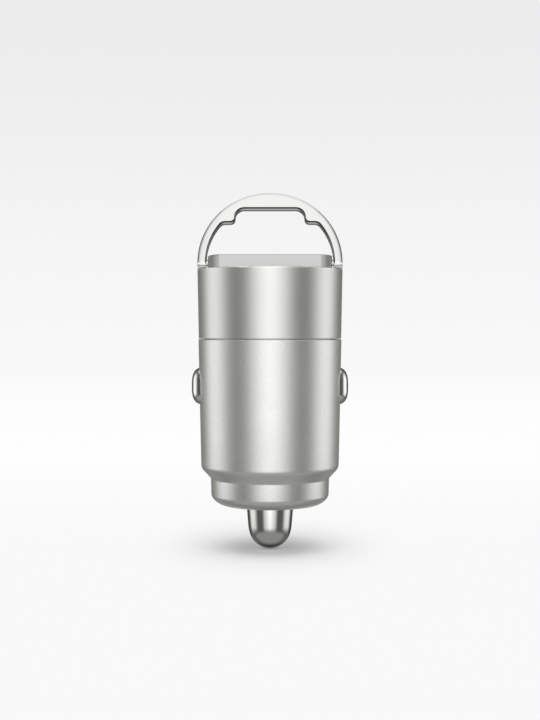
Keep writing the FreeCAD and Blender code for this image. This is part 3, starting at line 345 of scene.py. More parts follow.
def polished_metal(name, colour, roughness, rim=1.0, end=None, flank=None):
    """Plated and polished metal with the finest hairlines and small worn spots. Its rim is how white it
    gets where it turns away. From the height end down towards the floor its colour is darkened, a painted
    reflection of its own contact shadow, and farther than flank in front of the plug's axis or behind it
    it has painted shade."""
    finish, tree = new_finish(name)
    point = tree.place()
    hairs = tree.noise(tree.stretched(point, 1.0, 1.0, 12.0), HAIRLINE, 3.0)
    spots = tree.noise(point, WORN_SPOT, 4.0, 0.6)
    worn = spots.step(0.58, 0.75)
    tone = tree.mix(worn, colour, shaded(colour, WORN))
    # a painted reflection of the tip's contact shadow darkens it towards the floor
    if end:
        end_shade = tree.parts_of(point)[2].step(end, 0.15 * end)
        tone = tree.mix(end_shade, tone, shaded(colour, PAINTED_END_SHADE))
    # painted shade darkens the flanks close to the window's edge
    if flank:
        flank_shade = tree.parts_of(point)[1].size().step(flank - 0.08 * MM, flank)
        tone = tree.mix(flank_shade, tone, shaded(colour, PAINTED_FLANK_SHADE))
    tree.surface({
        "Base Color": tone,
        "Metallic": 1.0,
        "Roughness": roughness + 0.05 * worn + 0.03 * (hairs - 0.5),
        "Specular Tint": (rim, rim, rim, 1.0),
        "Normal": tree.bump(hairs, HAIRLINE_DEPTH),
    })
    return finish


def moulded_plastic(name, colour, roughness, grain=MOULD_GRAIN, depth=MOULD_DEPTH):
    """Moulded plastic with a fine spark-eroded texture."""
    finish, tree = new_finish(name)
    point = tree.place()
    texture = tree.noise(point, grain, 3.0, 0.55)
    clouds = tree.noise(point, MOULD_CLOUD)
    paler = tuple(min(1.0, part * 1.25 + 0.004) for part in colour[:3]) + (1.0,)
    tree.surface({
        "Base Color": tree.mix(clouds.step(0.3, 0.8, 0.0, 0.5), colour, paler),
        "Roughness": roughness + 0.12 * (texture - 0.5),
        "Normal": tree.bump(texture, depth),
    })
    return finish


def laminate(name):
    """Green board laminate with its faint weave and copper tracks under the mask."""
    finish, tree = new_finish(name)
    point = tree.place()
    weave = tree.noise(tree.stretched(point, 1.0, 6.0, 1.0), WEAVE)
    tracks = tree.noise(tree.stretched(point, 1.0, 1.0, 0.3), TRACK_GAP, 0.0).band(0.5, 0.03, 0.01)
    tone = tree.mix(weave, (0.010, 0.060, 0.030, 1.0), (0.014, 0.085, 0.042, 1.0))
    tree.surface({
        "Base Color": tree.mix(tracks * 0.7, tone, (0.035, 0.150, 0.060, 1.0)),
        "Roughness": 0.38 + 0.1 * weave,
        "Coat Weight": 0.3,
        "Normal": tree.bump(tracks + 0.2 * weave, TRACK_DEPTH),
    })
    return finish


finishes = {
    "barrel": blasted_metal("barrel_blasted", grey=0.88, cast=0.03, roughness=0.38),
    "head": satin_metal("head_satin", grey=0.79, cast=0.012, roughness=0.36,
                        zone_of=above_rim, darker=0.31),
    "ring": satin_metal("ring_satin", grey=0.845, cast=0.0, roughness=0.30,
                        zone_of=painted_ring_shade, darker=0.80, crisp=0.10, scuff=0.6),
    "contact": polished_metal("contact_nickel", (0.84, 0.84, 0.84, 1.0), 0.07, rim=0.5, flank=1.97 * MM),
    "tip": polished_metal("tip_nickel", (0.73, 0.73, 0.73, 1.0), 0.08, rim=0.5, end=1.4 * MM),
    "pin": polished_metal("pin_steel", (0.62, 0.61, 0.60, 1.0), 0.22),
    "port_steel": polished_metal("port_shell_steel", (0.66, 0.65, 0.63, 1.0), 0.20),
    "gold": polished_metal("contact_gold", (0.86, 0.62, 0.28, 1.0), 0.18),
    "spring": polished_metal("spring_steel", (0.55, 0.54, 0.53, 1.0), 0.25),
    "brass": polished_metal("seat_brass", (0.78, 0.60, 0.32, 1.0), 0.25),
    "can": polished_metal("capacitor_can", (0.72, 0.72, 0.73, 1.0), 0.30),
    "insert": moulded_plastic("insert_plastic", (0.018, 0.018, 0.019, 1.0), 0.45),
    "tongue": moulded_plastic("tongue_plastic", (0.045, 0.045, 0.048, 1.0), 0.40),
    "bush": moulded_plastic("bush_plastic", (0.025, 0.025, 0.026, 1.0), 0.50),
    "carrier": moulded_plastic("carrier_plastic", (0.040, 0.040, 0.042, 1.0), 0.55),
    "ferrite": moulded_plastic("inductor_ferrite", (0.050, 0.052, 0.055, 1.0), 0.60,
                               grain=0.2 * MM, depth=8.0 * MICRON),
    "epoxy": moulded_plastic("chip_epoxy", (0.022, 0.022, 0.024, 1.0), 0.50),
    "ceramic": moulded_plastic("fuse_ceramic", (0.75, 0.72, 0.64, 1.0), 0.45),
    "laminate": laminate("board_laminate"),
}

DRESSED = {
    "barrel": ["barrel"],
    "head": ["head_shell"],
    "ring": ["pull_ring"],
    "contact": ["ground_contact_left", "ground_contact_right"],
    "tip": ["tip_contact"],
    "pin": ["ring_pin_left", "ring_pin_right"],
    "port_steel": ["usb_a_shell", "usb_c_shell"],
    "gold": ["usb_a_contacts", "usb_c_contacts"],
    "spring": ["tip_spring"],
    "brass": ["spring_seat"],
    "can": ["input_capacitor", "output_capacitor"],
    "insert": ["port_insert"],
    "tongue": ["usb_a_tongue", "usb_c_tongue"],
    "bush": ["nose_bush"],
    "carrier": ["board_carrier"],
    "ferrite": ["power_inductor"],
    "epoxy": ["controller_chip", "power_switch"],
    "ceramic": ["input_fuse"],
    "laminate": ["circuit_board"],
}
for finish_name, node_names in DRESSED.items():
    for node_name in node_names:
        slots = frame["nodes"][node_name].data.materials
        slots.clear()
        slots.append(finishes[finish_name])


# What the pieces made here have in common

ARC_STEP = math.radians(7)


def rounded(corners):
    """The outline through corners of (radius, height, rounding), with an arc at each rounded one."""
    outline = []
    for i, (across, up, rounding) in enumerate(corners):
        here = Vector((across, up))
        if not rounding:
            outline.append(here)
            continue
        before = (Vector(corners[i - 1][:2]) - here).normalized()
        after = (Vector(corners[(i + 1) % len(corners)][:2]) - here).normalized()
        half = before.angle(after) / 2
        centre = here + (before + after).normalized() * (rounding / math.sin(half))
        start = here + before * (rounding / math.tan(half)) - centre
        turn = start.angle_signed(here + after * (rounding / math.tan(half)) - centre)
        steps = max(2, math.ceil(abs(turn) / ARC_STEP))
        for k in range(steps + 1):
            angle = -turn * k / steps
            cos, sin = math.cos(angle), math.sin(angle)
            turned = (start.x * cos - start.y * sin, start.x * sin + start.y * cos)
            outline.append(centre + Vector(turned))
    return outline


def turned_rings(mesh, outline, columns):
    """One ring of vertices about the plug's axis for each point of an outline."""
    turns = [math.tau * k / columns for k in range(columns)]
    return [[mesh.verts.new((across * math.cos(turn) * MM, across * math.sin(turn) * MM, up * MM))
             for turn in turns] for across, up in outline]


def skin(mesh, rings, closed=False, skip=lambda row, column: False):
    """Joins each ring to the next, and the last to the first if it is closed."""
    for row in range(len(rings) if closed else len(rings) - 1):
        low, high = rings[row], rings[(row + 1) % len(rings)]
        for k in range(len(low)):
            j = (k + 1) % len(low)
            if not skip(row, k):
                mesh.faces.new((low[k], low[j], high[j], high[k]))


def cap(mesh, ring, pole):
    """Closes a ring at a pole."""
    for k, vertex in enumerate(ring):
        mesh.faces.new((vertex, ring[(k + 1) % len(ring)], pole))


def as_piece(name, mesh, finish, sharp=28):
    """The mesh as a smooth piece, with a sharp edge wherever it turns by more than sharp degrees."""
    bmesh.ops.recalc_face_normals(mesh, faces=mesh.faces)
    data = bpy.data.meshes.new(name)
    mesh.to_mesh(data)
    mesh.free()
    data.shade_smooth()
    data.set_sharp_from_angle(angle=math.radians(sharp))
    data.materials.append(finish)
    piece = bpy.data.objects.new(name, data)
    scene.collection.objects.link(piece)
    return piece


# The barrel, whose outline goes from the hole in its nose up the outside and back down the inside

BARREL_COLUMNS = 240
NOSE_HOLE = 4.68
NOSE_FACE = 6.62
NOSE_FLAT = 6.0
NOSE_FOOT = 6.7
NOSE_ROUND = 2.2
NOSE_RISE = 1.62
NOSE_FLATNESS = 1.18      # 1 would be an ellipse
NOSE_STEPS = 12
CREASE_RADIUS = 8.97
CREASE_HEIGHT = 10.69
CREASE_ROUND = 0.4
SHOULDER_RADIUS = 10.42
SHOULDER_HEIGHT = 12.27
SHOULDER_ROUND = 1.3
BARREL_RADIUS = 10.85
BARREL_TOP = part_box("barrel")[1].z / MM
BARREL_EDGE = 0.10
SEAT_RADIUS = 9.9
SEAT_HEIGHT = 28.70
BORE_RADIUS = 9.45
BORE_FOOT = 13.30
NOSE_BORE = 7.8
NOSE_BORE_TOP = 11.2
NOSE_FLOOR = 8.15
OUTSIDE = ((SHOULDER_RADIUS, SHOULDER_HEIGHT), (BARREL_RADIUS, BARREL_TOP - BARREL_EDGE))
BORE = ((BORE_RADIUS, BORE_FOOT), (BORE_RADIUS, SEAT_HEIGHT))

WINDOW_COLUMNS = 14
WINDOW_ROWS = 12
WINDOW_MIDDLE = 24.6
WINDOW_WIDTH = 4.08
WINDOW_LENGTH = 5.92
WINDOW_EDGE = 0.05
WINDOW_REACH = 4.5
WINDOW_LOW = WINDOW_MIDDLE - WINDOW_REACH
WINDOW_HIGH = WINDOW_MIDDLE + WINDOW_REACH
WINDOW_BORE_HIGH = 28.4
WINDOW_SPREAD = (0.82, 0.62, 0.42, 0.25, 0.12, 0.04, 0.0)


def radius_at(face, up):
    """The radius of a straight or tapered face at a height."""
    (foot_radius, foot), (top_radius, top) = face
    return foot_radius + (top_radius - foot_radius) * (up - foot) / (top - foot)


def nose_corners():
    """The nose's flat face and its rounding, which is flatter than an ellipse's quarter."""
    corners = [(NOSE_HOLE, NOSE_FACE, 0), (NOSE_FLAT, NOSE_FACE, 0)]
    for k in range(NOSE_STEPS + 1):
        turn = math.pi / 2 * (1 - k / NOSE_STEPS)
        across = NOSE_ROUND * abs(math.cos(turn)) ** NOSE_FLATNESS
        up = NOSE_RISE * (1 - math.sin(turn) ** NOSE_FLATNESS)
        corners.append((NOSE_FOOT + across, NOSE_FACE + up, 0))
    return corners


def window_rows(face, start, end):
    """The corners where the rows of a window's field cross a face."""
    heights = [start + (end - start) * (k / WINDOW_ROWS) for k in range(WINDOW_ROWS + 1)]
    return [(radius_at(face, up), up, 0) for up in heights]


def barrel_corners():
    corners = nose_corners()
    corners += [(CREASE_RADIUS, CREASE_HEIGHT, CREASE_ROUND)]
    corners += [(SHOULDER_RADIUS, SHOULDER_HEIGHT, SHOULDER_ROUND)]
    corners += window_rows(OUTSIDE, WINDOW_LOW, WINDOW_HIGH)
    corners += [(BARREL_RADIUS, BARREL_TOP - BARREL_EDGE, 0)]
    corners += [(BARREL_RADIUS - BARREL_EDGE, BARREL_TOP, 0), (SEAT_RADIUS, BARREL_TOP, 0)]
    corners += [(SEAT_RADIUS, SEAT_HEIGHT, 0), (BORE_RADIUS, SEAT_HEIGHT, 0)]
    corners += window_rows(BORE, WINDOW_BORE_HIGH, WINDOW_LOW)
    corners += [(BORE_RADIUS, BORE_FOOT, 0), (NOSE_BORE, NOSE_BORE_TOP, 0)]
    return corners + [(NOSE_BORE, NOSE_FLOOR, 0), (NOSE_HOLE, NOSE_FLOOR, 0)]


def on_slot(across, up, grow):
    """Where the window's outline, grown by grow, lies in the direction (across, up) from its middle."""
    radius, reach = WINDOW_WIDTH / 2 + grow, (WINDOW_LENGTH - WINDOW_WIDTH) / 2
    if abs(up) * radius <= abs(across) * reach:
        share = radius / abs(across)
    else:
        length = across * across + up * up
        half = up * math.copysign(reach, up) / length
        share = half + math.sqrt(half * half - (reach * reach - radius * radius) / length)
    return across * share, up * share


def border_of(rings, bottom, top, left, right):
    """The vertices round a window's field, from its lower left corner along the bottom and on round."""
    step = 1 if top > bottom else -1
    columns = len(rings[0])
    border = [rings[bottom][k % columns] for k in range(left, right)]
    border += [rings[row][right % columns] for row in range(bottom, top, step)]
    border += [rings[top][k % columns] for k in range(right, left, -1)]
    return border + [rings[row][left % columns] for row in range(top, bottom, -step)]


def fill_window(mesh, outer, inner, side):
    """Fills the field of one window between its borders in the outside and the bore, round the opening."""
    aims = [(vertex.co.y / MM, vertex.co.z / MM - WINDOW_MIDDLE) for vertex in outer]

    def ring_at(border, face, share, sink, grow):
        """A ring that lies a share of the way from the opening, grown by grow, to the border."""
        ring = []
        for vertex, aim in zip(border, aims):
            across, up = on_slot(*aim, grow)
            across += (vertex.co.y / MM - across) * share
            up += (vertex.co.z / MM - WINDOW_MIDDLE - up) * share
            reach = math.sqrt(radius_at(face, up + WINDOW_MIDDLE) ** 2 - across * across) - sink
            ring.append(mesh.verts.new((side * reach * MM, across * MM, (up + WINDOW_MIDDLE) * MM)))
        return ring

    field = [outer] + [ring_at(outer, OUTSIDE, share, 0.0, WINDOW_EDGE) for share in WINDOW_SPREAD]
    field.append(ring_at(outer, OUTSIDE, 0.0, WINDOW_EDGE, 0.0))
    field += [ring_at(inner, BORE, share, 0.0, 0.0) for share in reversed(WINDOW_SPREAD)]
    skin(mesh, field + [inner])


def make_barrel():
    """The barrel with its two windows, whose edges are just broken."""
    outline = rounded(barrel_corners())
    heights = [round(point.y, 3) for point in outline]
    first_out, first_in = heights.index(round(WINDOW_LOW, 3)), heights.index(WINDOW_BORE_HIGH)
    mesh = bmesh.new()
    rings = turned_rings(mesh, outline, BARREL_COLUMNS)

    def in_window(row, column):
        in_rows = 0 <= row - first_out < WINDOW_ROWS or 0 <= row - first_in < WINDOW_ROWS
        return in_rows and (column + WINDOW_COLUMNS) % (BARREL_COLUMNS // 2) < WINDOW_COLUMNS * 2

    skin(mesh, rings, closed=True, skip=in_window)
    for side, middle in ((1, 0), (-1, BARREL_COLUMNS // 2)):
        left, right = middle - WINDOW_COLUMNS, middle + WINDOW_COLUMNS
        outer = border_of(rings, first_out, first_out + WINDOW_ROWS, left, right)
        inner = border_of(rings, first_in + WINDOW_ROWS, first_in, left, right)
        fill_window(mesh, outer, inner, side)
    return as_piece("barrel_skin", mesh, finishes["barrel"])


# The tip

TIP_COLUMNS = 144
TIP_DOME = 3.2
TIP_DOME_STEPS = 24
TIP_BLEND = 6.0
TIP_BLEND_START = math.radians(17)
TIP_BLEND_STEPS = 8
TIP_CONE_LEAN = math.radians(4.7)
TIP_CONE_TOP = 6.2
COLLAR_FOOT = 9.03
COLLAR_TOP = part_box("tip_contact")[1].z / MM
COLLAR_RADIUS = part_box("tip_contact")[1].y / MM
SPRING_BORE = 2.38
SPRING_BORE_FLOOR = 4.6


def make_tip():
    """The tip: a dome that blends into a slim cone, the guided stem, its collar and the spring's bore."""
    outline = []
    for k in range(1, TIP_DOME_STEPS + 1):
        turn = math.pi / 2 + (TIP_BLEND_START - math.pi / 2) * k / TIP_DOME_STEPS
        outline.append((TIP_DOME * math.cos(turn), TIP_DOME - TIP_DOME * math.sin(turn)))
    across, up = outline[-1]
    for k in range(1, TIP_BLEND_STEPS + 1):
        turn = TIP_BLEND_START + (TIP_CONE_LEAN - TIP_BLEND_START) * k / TIP_BLEND_STEPS
        outline.append((across + TIP_BLEND * (math.cos(turn) - math.cos(TIP_BLEND_START)),
                        up + TIP_BLEND * (math.sin(TIP_BLEND_START) - math.sin(turn))))
    across, up = outline[-1]
    stem = across + (TIP_CONE_TOP - up) * math.tan(TIP_CONE_LEAN)
    outline += [(stem, TIP_CONE_TOP), (stem, COLLAR_FOOT), (COLLAR_RADIUS, COLLAR_FOOT)]
    outline += [(COLLAR_RADIUS, COLLAR_TOP), (SPRING_BORE, COLLAR_TOP), (SPRING_BORE, SPRING_BORE_FLOOR)]
    mesh = bmesh.new()
    rings = turned_rings(mesh, outline, TIP_COLUMNS)
    skin(mesh, rings)
    cap(mesh, rings[0], mesh.verts.new((0, 0, 0)))
    cap(mesh, rings[-1], mesh.verts.new((0, 0, SPRING_BORE_FLOOR * MM)))
    return as_piece("tip_skin", mesh, finishes["tip"])


# The spring behind the tip

SPRING_WIRE = 0.2
SPRING_TURNS = 4.5
SPRING_CLOSED = 0.75
SPRING_CLOSED_PITCH = 2.1 * SPRING_WIRE
SPRING_STEPS = 48
SPRING_SIDES = 12
SPRING_GAP = 0.01


def make_spring(box):
    """The spring behind the tip: open coils between two closed ones, in the place of the plain coil."""
    low, high = (corner.z / MM for corner in box)
    radius = (box[1].y - box[0].y) / 2 / MM - SPRING_WIRE
    first, last = low + SPRING_WIRE + SPRING_GAP, high - SPRING_WIRE - SPRING_GAP
    open_turns = SPRING_TURNS - 2 * SPRING_CLOSED
    open_pitch = (last - first - 2 * SPRING_CLOSED * SPRING_CLOSED_PITCH) / open_turns
    sections = round(SPRING_TURNS * SPRING_STEPS)
    mesh = bmesh.new()
    coils = []
    for k in range(sections + 1):
        turns = SPRING_TURNS * k / sections
        closed = min(turns, SPRING_CLOSED) + max(turns - SPRING_CLOSED - open_turns, 0.0)
        up = first + closed * SPRING_CLOSED_PITCH + (turns - closed) * open_pitch
        turn = math.tau * turns
        coil = []
        for side in range(SPRING_SIDES):
            around = math.tau * side / SPRING_SIDES
            reach = radius + SPRING_WIRE * math.cos(around)
            rise = SPRING_WIRE * math.sin(around)
            coil.append(mesh.verts.new((reach * math.cos(turn) * MM, reach * math.sin(turn) * MM,
                                        (up + rise) * MM)))
        coils.append(coil)
    skin(mesh, coils)
    mesh.faces.new(coils[0])
    mesh.faces.new(coils[-1])
    return as_piece("tip_spring_coil", mesh, finishes["spring"])


# The side contacts

contact_low, contact_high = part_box("ground_contact_right")
BUTTON_HALF = 2.0
BUTTON_REACH = 0.88
BUTTON_TOP = contact_high.x / MM
BUTTON_ROUND = 2.2
BUTTON_RISE = 2.2
BUTTON_RINGS = 18
BUTTON_COLUMNS = 96
STRIP_HALF = contact_high.y / MM
STRIP_FACE = 9.05
STRIP_BACK = contact_low.x / MM
STRIP_FOOT = JOINTS["contact_left_bend"]["pos_m"][2] / MM
STRIP_TOP = contact_high.z / MM
STRIP_CORNER = 1.0
STRIP_CORNER_STEPS = 6
STRIP_EDGE = 0.05
STRIP_LAYERS = ((STRIP_BACK, STRIP_EDGE), (STRIP_BACK + STRIP_EDGE, 0.0),
                (STRIP_FACE - STRIP_EDGE, 0.0), (STRIP_FACE, STRIP_EDGE))
FOOT_STEPS = 12


def button_rim():
    """The button's upright oval: two half rounds, one as far above the middle as the other is below."""
    points = []
    for k in range(BUTTON_COLUMNS):
        turn = math.tau * (k + 0.5) / BUTTON_COLUMNS
        up = BUTTON_HALF * math.sin(turn)
        points.append((BUTTON_HALF * math.cos(turn), up + math.copysign(BUTTON_REACH, up)))
    return points


def add_button(mesh, vertex):
    """The crowned button: round from side to side, and squarer from top to bottom."""
    rim = button_rim()
    rings = []
    for k in range(1, BUTTON_RINGS + 1):
        share = math.sin(math.pi / 2 * k / BUTTON_RINGS)
        drop_across = BUTTON_ROUND - math.sqrt(BUTTON_ROUND ** 2 - (BUTTON_HALF * share) ** 2)
        drop_upright = BUTTON_RISE * (1.0 - (1.0 - min(share, 1.0) ** 3) ** (1 / 3))
        ring = []
        for across, up in rim:
            upright = up * up / (across * across + up * up)
            depth = BUTTON_TOP - drop_across - (drop_upright - drop_across) * upright
            ring.append(vertex(across * share, depth, WINDOW_MIDDLE + up * share))
        rings.append(ring)
    rings.append([vertex(across, STRIP_FACE, WINDOW_MIDDLE + up) for across, up in rim])
    skin(mesh, rings)
    cap(mesh, rings[0], vertex(0.0, BUTTON_TOP, WINDOW_MIDDLE))
    mesh.faces.new(rings[-1])


def strip_outline(inset):
    """The strip's outline from its foot round its two top corners, drawn in by inset."""
    half, top, radius = STRIP_HALF - inset, STRIP_TOP - inset, STRIP_CORNER - inset
    points = [(half, STRIP_FOOT)]
    for middle, first in ((half - radius, 0.0), (radius - half, math.pi / 2)):
        for k in range(STRIP_CORNER_STEPS + 1):
            turn = first + math.pi / 2 * k / STRIP_CORNER_STEPS
            points.append((middle + radius * math.cos(turn), top - radius + radius * math.sin(turn)))
    return points + [(-half, STRIP_FOOT)]


def add_strip(mesh, vertex):
    """The sprung strip that carries the button behind the window."""
    layers = [[vertex(across, depth, up) for across, up in strip_outline(inset)]
              for depth, inset in STRIP_LAYERS]
    for low, high in zip(layers, layers[1:]):
        for k in range(len(low) - 1):
            mesh.faces.new((low[k], low[k + 1], high[k + 1], high[k]))
    mesh.faces.new(layers[0])
    mesh.faces.new(layers[-1])
    mesh.faces.new([layer[0] for layer in layers] + [layer[-1] for layer in reversed(layers)])


def add_foot(mesh, vertex):
    """The strip's rounded foot, about which the contact bends."""
    half = (STRIP_FACE - STRIP_BACK) / 2
    foot = []
    for k in range(FOOT_STEPS + 1):
        turn = math.pi * k / FOOT_STEPS
        depth, up = STRIP_BACK + half + half * math.cos(turn), STRIP_FOOT - half * math.sin(turn)
        foot.append([vertex(across, depth, up) for across in (-STRIP_HALF, STRIP_HALF)])
    for low, high in zip(foot, foot[1:]):
        mesh.faces.new((low[0], low[1], high[1], high[0]))
    for end in (0, 1):
        mesh.faces.new([pair[end] for pair in foot])
    mesh.faces.new(foot[0] + foot[-1][::-1])


def make_side_contact(side, name):
    """A side contact on the left, where side is -1, or on the right, where it is 1."""
    mesh = bmesh.new()

    def vertex(across, depth, up):
        return mesh.verts.new((side * depth * MM, side * across * MM, up * MM))

    add_button(mesh, vertex)
    add_strip(mesh, vertex)
    add_foot(mesh, vertex)
    return as_piece(name, mesh, finishes["contact"], sharp=18)


# The pieces on their bodies

barrel = make_barrel()
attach(barrel, "housing")
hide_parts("barrel")
tip = make_tip()
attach(tip, "tip")
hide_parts("tip_contact")
spring_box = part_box("tip_spring")
spring = make_spring(spring_box)
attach(spring, "housing")
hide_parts("tip_spring")
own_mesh(spring)
for side, half in ((-1, "left"), (1, "right")):
    contact = make_side_contact(side, "contact_skin_" + half)
    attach(contact, "contact_" + half)
    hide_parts("ground_contact_" + half)


# The floor

FLOOR_HALF = 6.0
FLOOR_WHITE = (0.925, 0.925, 0.925, 1.0)
HORIZON_WHITE = (0.941, 0.941, 0.943, 1.0)
MIDDLE_WHITE = (0.987, 0.987, 0.987, 1.0)
NEAR_WHITE = (0.945, 0.945, 0.945, 1.0)
NEAR_TO_MIDDLE = (0.0, 0.14)
MIDDLE_TO_HORIZON = (0.12, 0.85)
OUT_TO_HORIZON = (0.7, 2.2)
SHADOW_TO_PAPER = (0.003, 0.022)
UNDER_TIP = (0.0034, 0.0012)
SHADOW_DEPTH = 0.55        # the lit part reaches farther to the front and back than to the sides


def make_floor():
    """A pale paper floor. Near the plug it is lit and keeps its shadow; far off it is like the backdrop."""
    mesh = bpy.data.meshes.new("floor")
    corners = [(-FLOOR_HALF, -FLOOR_HALF, 0), (FLOOR_HALF, -FLOOR_HALF, 0),
               (FLOOR_HALF, FLOOR_HALF, 0), (-FLOOR_HALF, FLOOR_HALF, 0)]
    mesh.from_pydata(corners, [], [(0, 1, 2, 3)])
    floor = bpy.data.objects.new("floor", mesh)
    scene.collection.objects.link(floor)
    floor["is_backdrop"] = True
    floor.visible_glossy = False
    finish, tree = new_finish("pale_floor")
    seen = tree.add("ShaderNodeLightPath", output="Is Camera Ray")
    point = tree.place()
    away = tree.add("ShaderNodeVectorMath", {"operation": "LENGTH"},
                    {0: tree.stretched(point, 1.0, SHADOW_DEPTH, 1.0)}, output="Value")
    back = tree.parts_of(point)[1]
    lit = tree.add("ShaderNodeBsdfDiffuse", {}, {"Color": FLOOR_WHITE})
    glow = tree.mix(back.step(*NEAR_TO_MIDDLE), NEAR_WHITE, MIDDLE_WHITE)
    glow = tree.mix(back.step(*MIDDLE_TO_HORIZON), glow, HORIZON_WHITE)
    glow = tree.mix(away.step(*OUT_TO_HORIZON), glow, HORIZON_WHITE)
    even = tree.add("ShaderNodeEmission", {}, {"Color": glow, "Strength": 1.0})
    # a little even glow is painted into the lit floor near the plug, and more under the tip, which lightens
    # its shadow there
    share = away.step(*SHADOW_TO_PAPER, 0.05, 1.0) + away.step(*UNDER_TIP, 0.0, 0.12)
    share = (share * seen).bounded()
    both = tree.add("ShaderNodeMixShader", {}, {0: share, 1: lit, 2: even})
    tree.add("ShaderNodeOutputMaterial", {}, {"Surface": both})
    mesh.materials.append(finish)


# The room, with each edge of a panel as where it starts and where it is full, in degrees

TOP_WHITE = (0.836, 0.836, 0.838, 1.0)
EVEN_WHITE = (0.80, 0.80, 0.80, 1.0)
ROOM_GLOOM = (0.120, 0.121, 0.111, 1.0)
FRONT_LIGHT = 0.92
FRONT_EDGE = (43, 20)
FRONT_FOOT = (-35, -17)
CORE_LIGHT = 0.50
CORE_EDGE = (22, 3)
SIDE_LIGHT = 1.04
SIDE_FRONT_EDGE = (63, 93)
SIDE_REAR_EDGE = (133, 106)
SIDE_FOOT = (-30, -13)
SIDE_TOP = (52, 12)
REAR_LIGHT = 0.22
REAR_EDGE = (160, 172)
REAR_FOOT = (-27, -18)
PANEL_TOP = (66, 54)
PANEL_FOOT = (-22, -4)
PANEL_FOOT_LEFT = 0.76        # what is left of a panel's light there
PANEL_FALL = (8, 34)
PANEL_FALL_LEFT = 0.72
TABLE_LIGHT = 0.20
TABLE_EDGE = (-24, -36)
TABLE_FRONT_BACK = (0.6, -0.15)        # as the share of the direction that goes back
TABLE_REAR_BACK = (0.45, 0.75)
TABLE_REAR = (-34, 6, 9)
TABLE_GLINT_LIGHT = 0.35
TABLE_GLINT = (-35, 5, 6)
CEILING_LIGHT = 0.95
CEILING_EDGE = (47, 66)
CEILING_MIDDLE = (82, 69)
CEILING_MIDDLE_LEFT = 0.55
BACKDROP_UP = (-0.05, 0.26)        # as the share of the direction that goes up


def fade(angle, edge, low=0.0, high=1.0):
    """A smooth step over an angle, from low at the edge's start to high where it is full."""
    start, full = edge
    return angle.step(math.radians(start), math.radians(full), low, high)


def stripe(angle, middle, half, soft):
    """1 within half of the middle, and fading over soft beyond it, all in degrees."""
    return angle.band(math.radians(middle), math.radians(half), math.radians(soft))


def panels_round(azimuth, height):
    """The tall panels: one behind the camera with a brighter core, one on each side, one at the rear."""
    front = fade(azimuth, FRONT_EDGE) * fade(height, FRONT_FOOT)
    core = fade(azimuth, CORE_EDGE) * fade(height, FRONT_FOOT)
    side = fade(azimuth, SIDE_FRONT_EDGE) * fade(azimuth, SIDE_REAR_EDGE)
    side = side * fade(height, SIDE_FOOT) * fade(height, SIDE_TOP)
    rear = fade(azimuth, REAR_EDGE) * fade(height, REAR_FOOT)
    panels = FRONT_LIGHT * front + CORE_LIGHT * core + SIDE_LIGHT * side + REAR_LIGHT * rear
    standing = fade(height, PANEL_TOP) * fade(height, PANEL_FOOT, PANEL_FOOT_LEFT, 1.0)
    return panels * standing * fade(height, PANEL_FALL, 1.0, PANEL_FALL_LEFT)


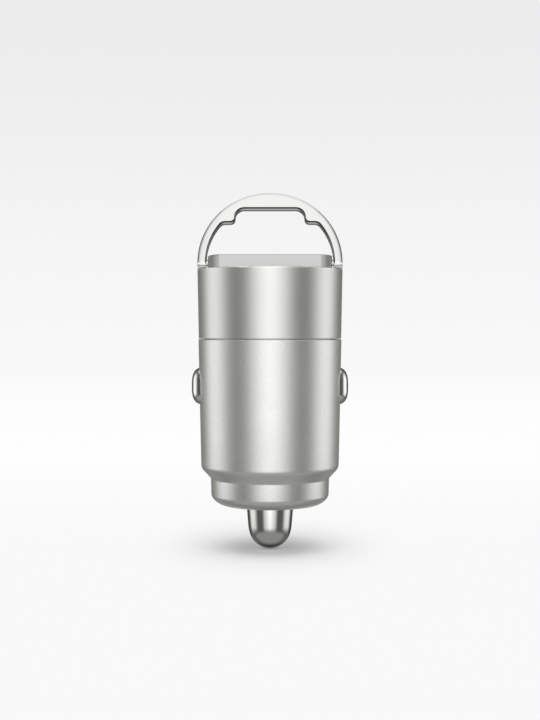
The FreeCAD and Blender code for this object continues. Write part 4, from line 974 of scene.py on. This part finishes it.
def make_room():
    """The room: an even light on soft surfaces, the pale backdrop, and what metal reflects.

    Metal reflects dark gaps between tall panels, over a grey table and under a pale ceiling. Azimuth 0
    is behind the camera and height 0 is level.
    """
    world = bpy.data.worlds.new("room")
    scene.world = world
    world.cycles.sampling_method = "NONE"
    tree = Tree(world)
    across, back, up = tree.parts_of(tree.add("ShaderNodeTexCoord", output="Generated"))
    azimuth = tree.maths("ARCTAN2", across, -1.0 * back).size()
    height = tree.maths("ARCSINE", up)
    table = fade(height, TABLE_EDGE) * back.step(*TABLE_FRONT_BACK)
    table = table + stripe(height, *TABLE_REAR) * back.step(*TABLE_REAR_BACK)
    glint = fade(azimuth, REAR_EDGE) * stripe(height, *TABLE_GLINT)
    ceiling = fade(height, CEILING_EDGE) * fade(height, CEILING_MIDDLE, CEILING_MIDDLE_LEFT, 1.0)
    lights = panels_round(azimuth, height) + TABLE_LIGHT * table
    lights = lights + TABLE_GLINT_LIGHT * glint + CEILING_LIGHT * ceiling
    mirrored_room = tree.mix(1.0, ROOM_GLOOM, tree.grey(lights), "ADD")
    seen = tree.add("ShaderNodeLightPath", output="Is Camera Ray")
    mirrored = tree.add("ShaderNodeLightPath", output="Is Glossy Ray")
    backdrop = tree.mix(up.step(*BACKDROP_UP), HORIZON_WHITE, TOP_WHITE)
    around = tree.mix(seen, tree.mix(mirrored, EVEN_WHITE, mirrored_room), backdrop)
    shade = tree.add("ShaderNodeBackground", {}, {"Color": around, "Strength": 1.0})
    tree.add("ShaderNodeOutputWorld", {}, {"Surface": shade})


# The light over the plug

TOP_LIGHT_SIZE = 0.4
TOP_LIGHT_FORWARD = 0.12
TOP_LIGHT_HEIGHT = 0.6
TOP_LIGHT_POWER = 1.0


def make_top_light():
    light = bpy.data.lights.new("top_light", "AREA")
    light.shape = "SQUARE"
    light.size = TOP_LIGHT_SIZE
    light.energy = TOP_LIGHT_POWER
    lamp = bpy.data.objects.new("top_light", light)
    lamp.location = (0, -TOP_LIGHT_FORWARD, TOP_LIGHT_HEIGHT)
    lamp.visible_camera = False
    lamp.visible_glossy = False
    scene.collection.objects.link(lamp)


# The camera, as the photograph was taken

EYE_DISTANCE = 198.0 * MM
EYE_HEIGHT = 33.39 * MM
EYE_ROW = 328
IMAGE_HEIGHT = 720
FOCAL_PIXELS = 1303
SENSOR = 36.0
NEAREST = 0.01
FARTHEST = 20.0


def make_camera():
    lens = bpy.data.cameras.new("camera")
    lens.sensor_width = SENSOR
    lens.lens = FOCAL_PIXELS / IMAGE_HEIGHT * SENSOR
    lens.shift_y = (EYE_ROW - IMAGE_HEIGHT / 2) / IMAGE_HEIGHT
    lens.clip_start = NEAREST
    lens.clip_end = FARTHEST
    camera = bpy.data.objects.new("camera", lens)
    camera.location = (0, -EYE_DISTANCE, EYE_HEIGHT)
    camera.rotation_euler = (math.radians(90), 0, 0)
    scene.collection.objects.link(camera)
    scene.camera = camera


make_floor()
make_room()
make_top_light()
make_camera()
scene.view_settings.view_transform = "Standard"

visual_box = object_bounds()
boxes = {"frame": frame_box, "visual": visual_box}
{name: [list(corner) for corner in box] for name, box in boxes.items()}
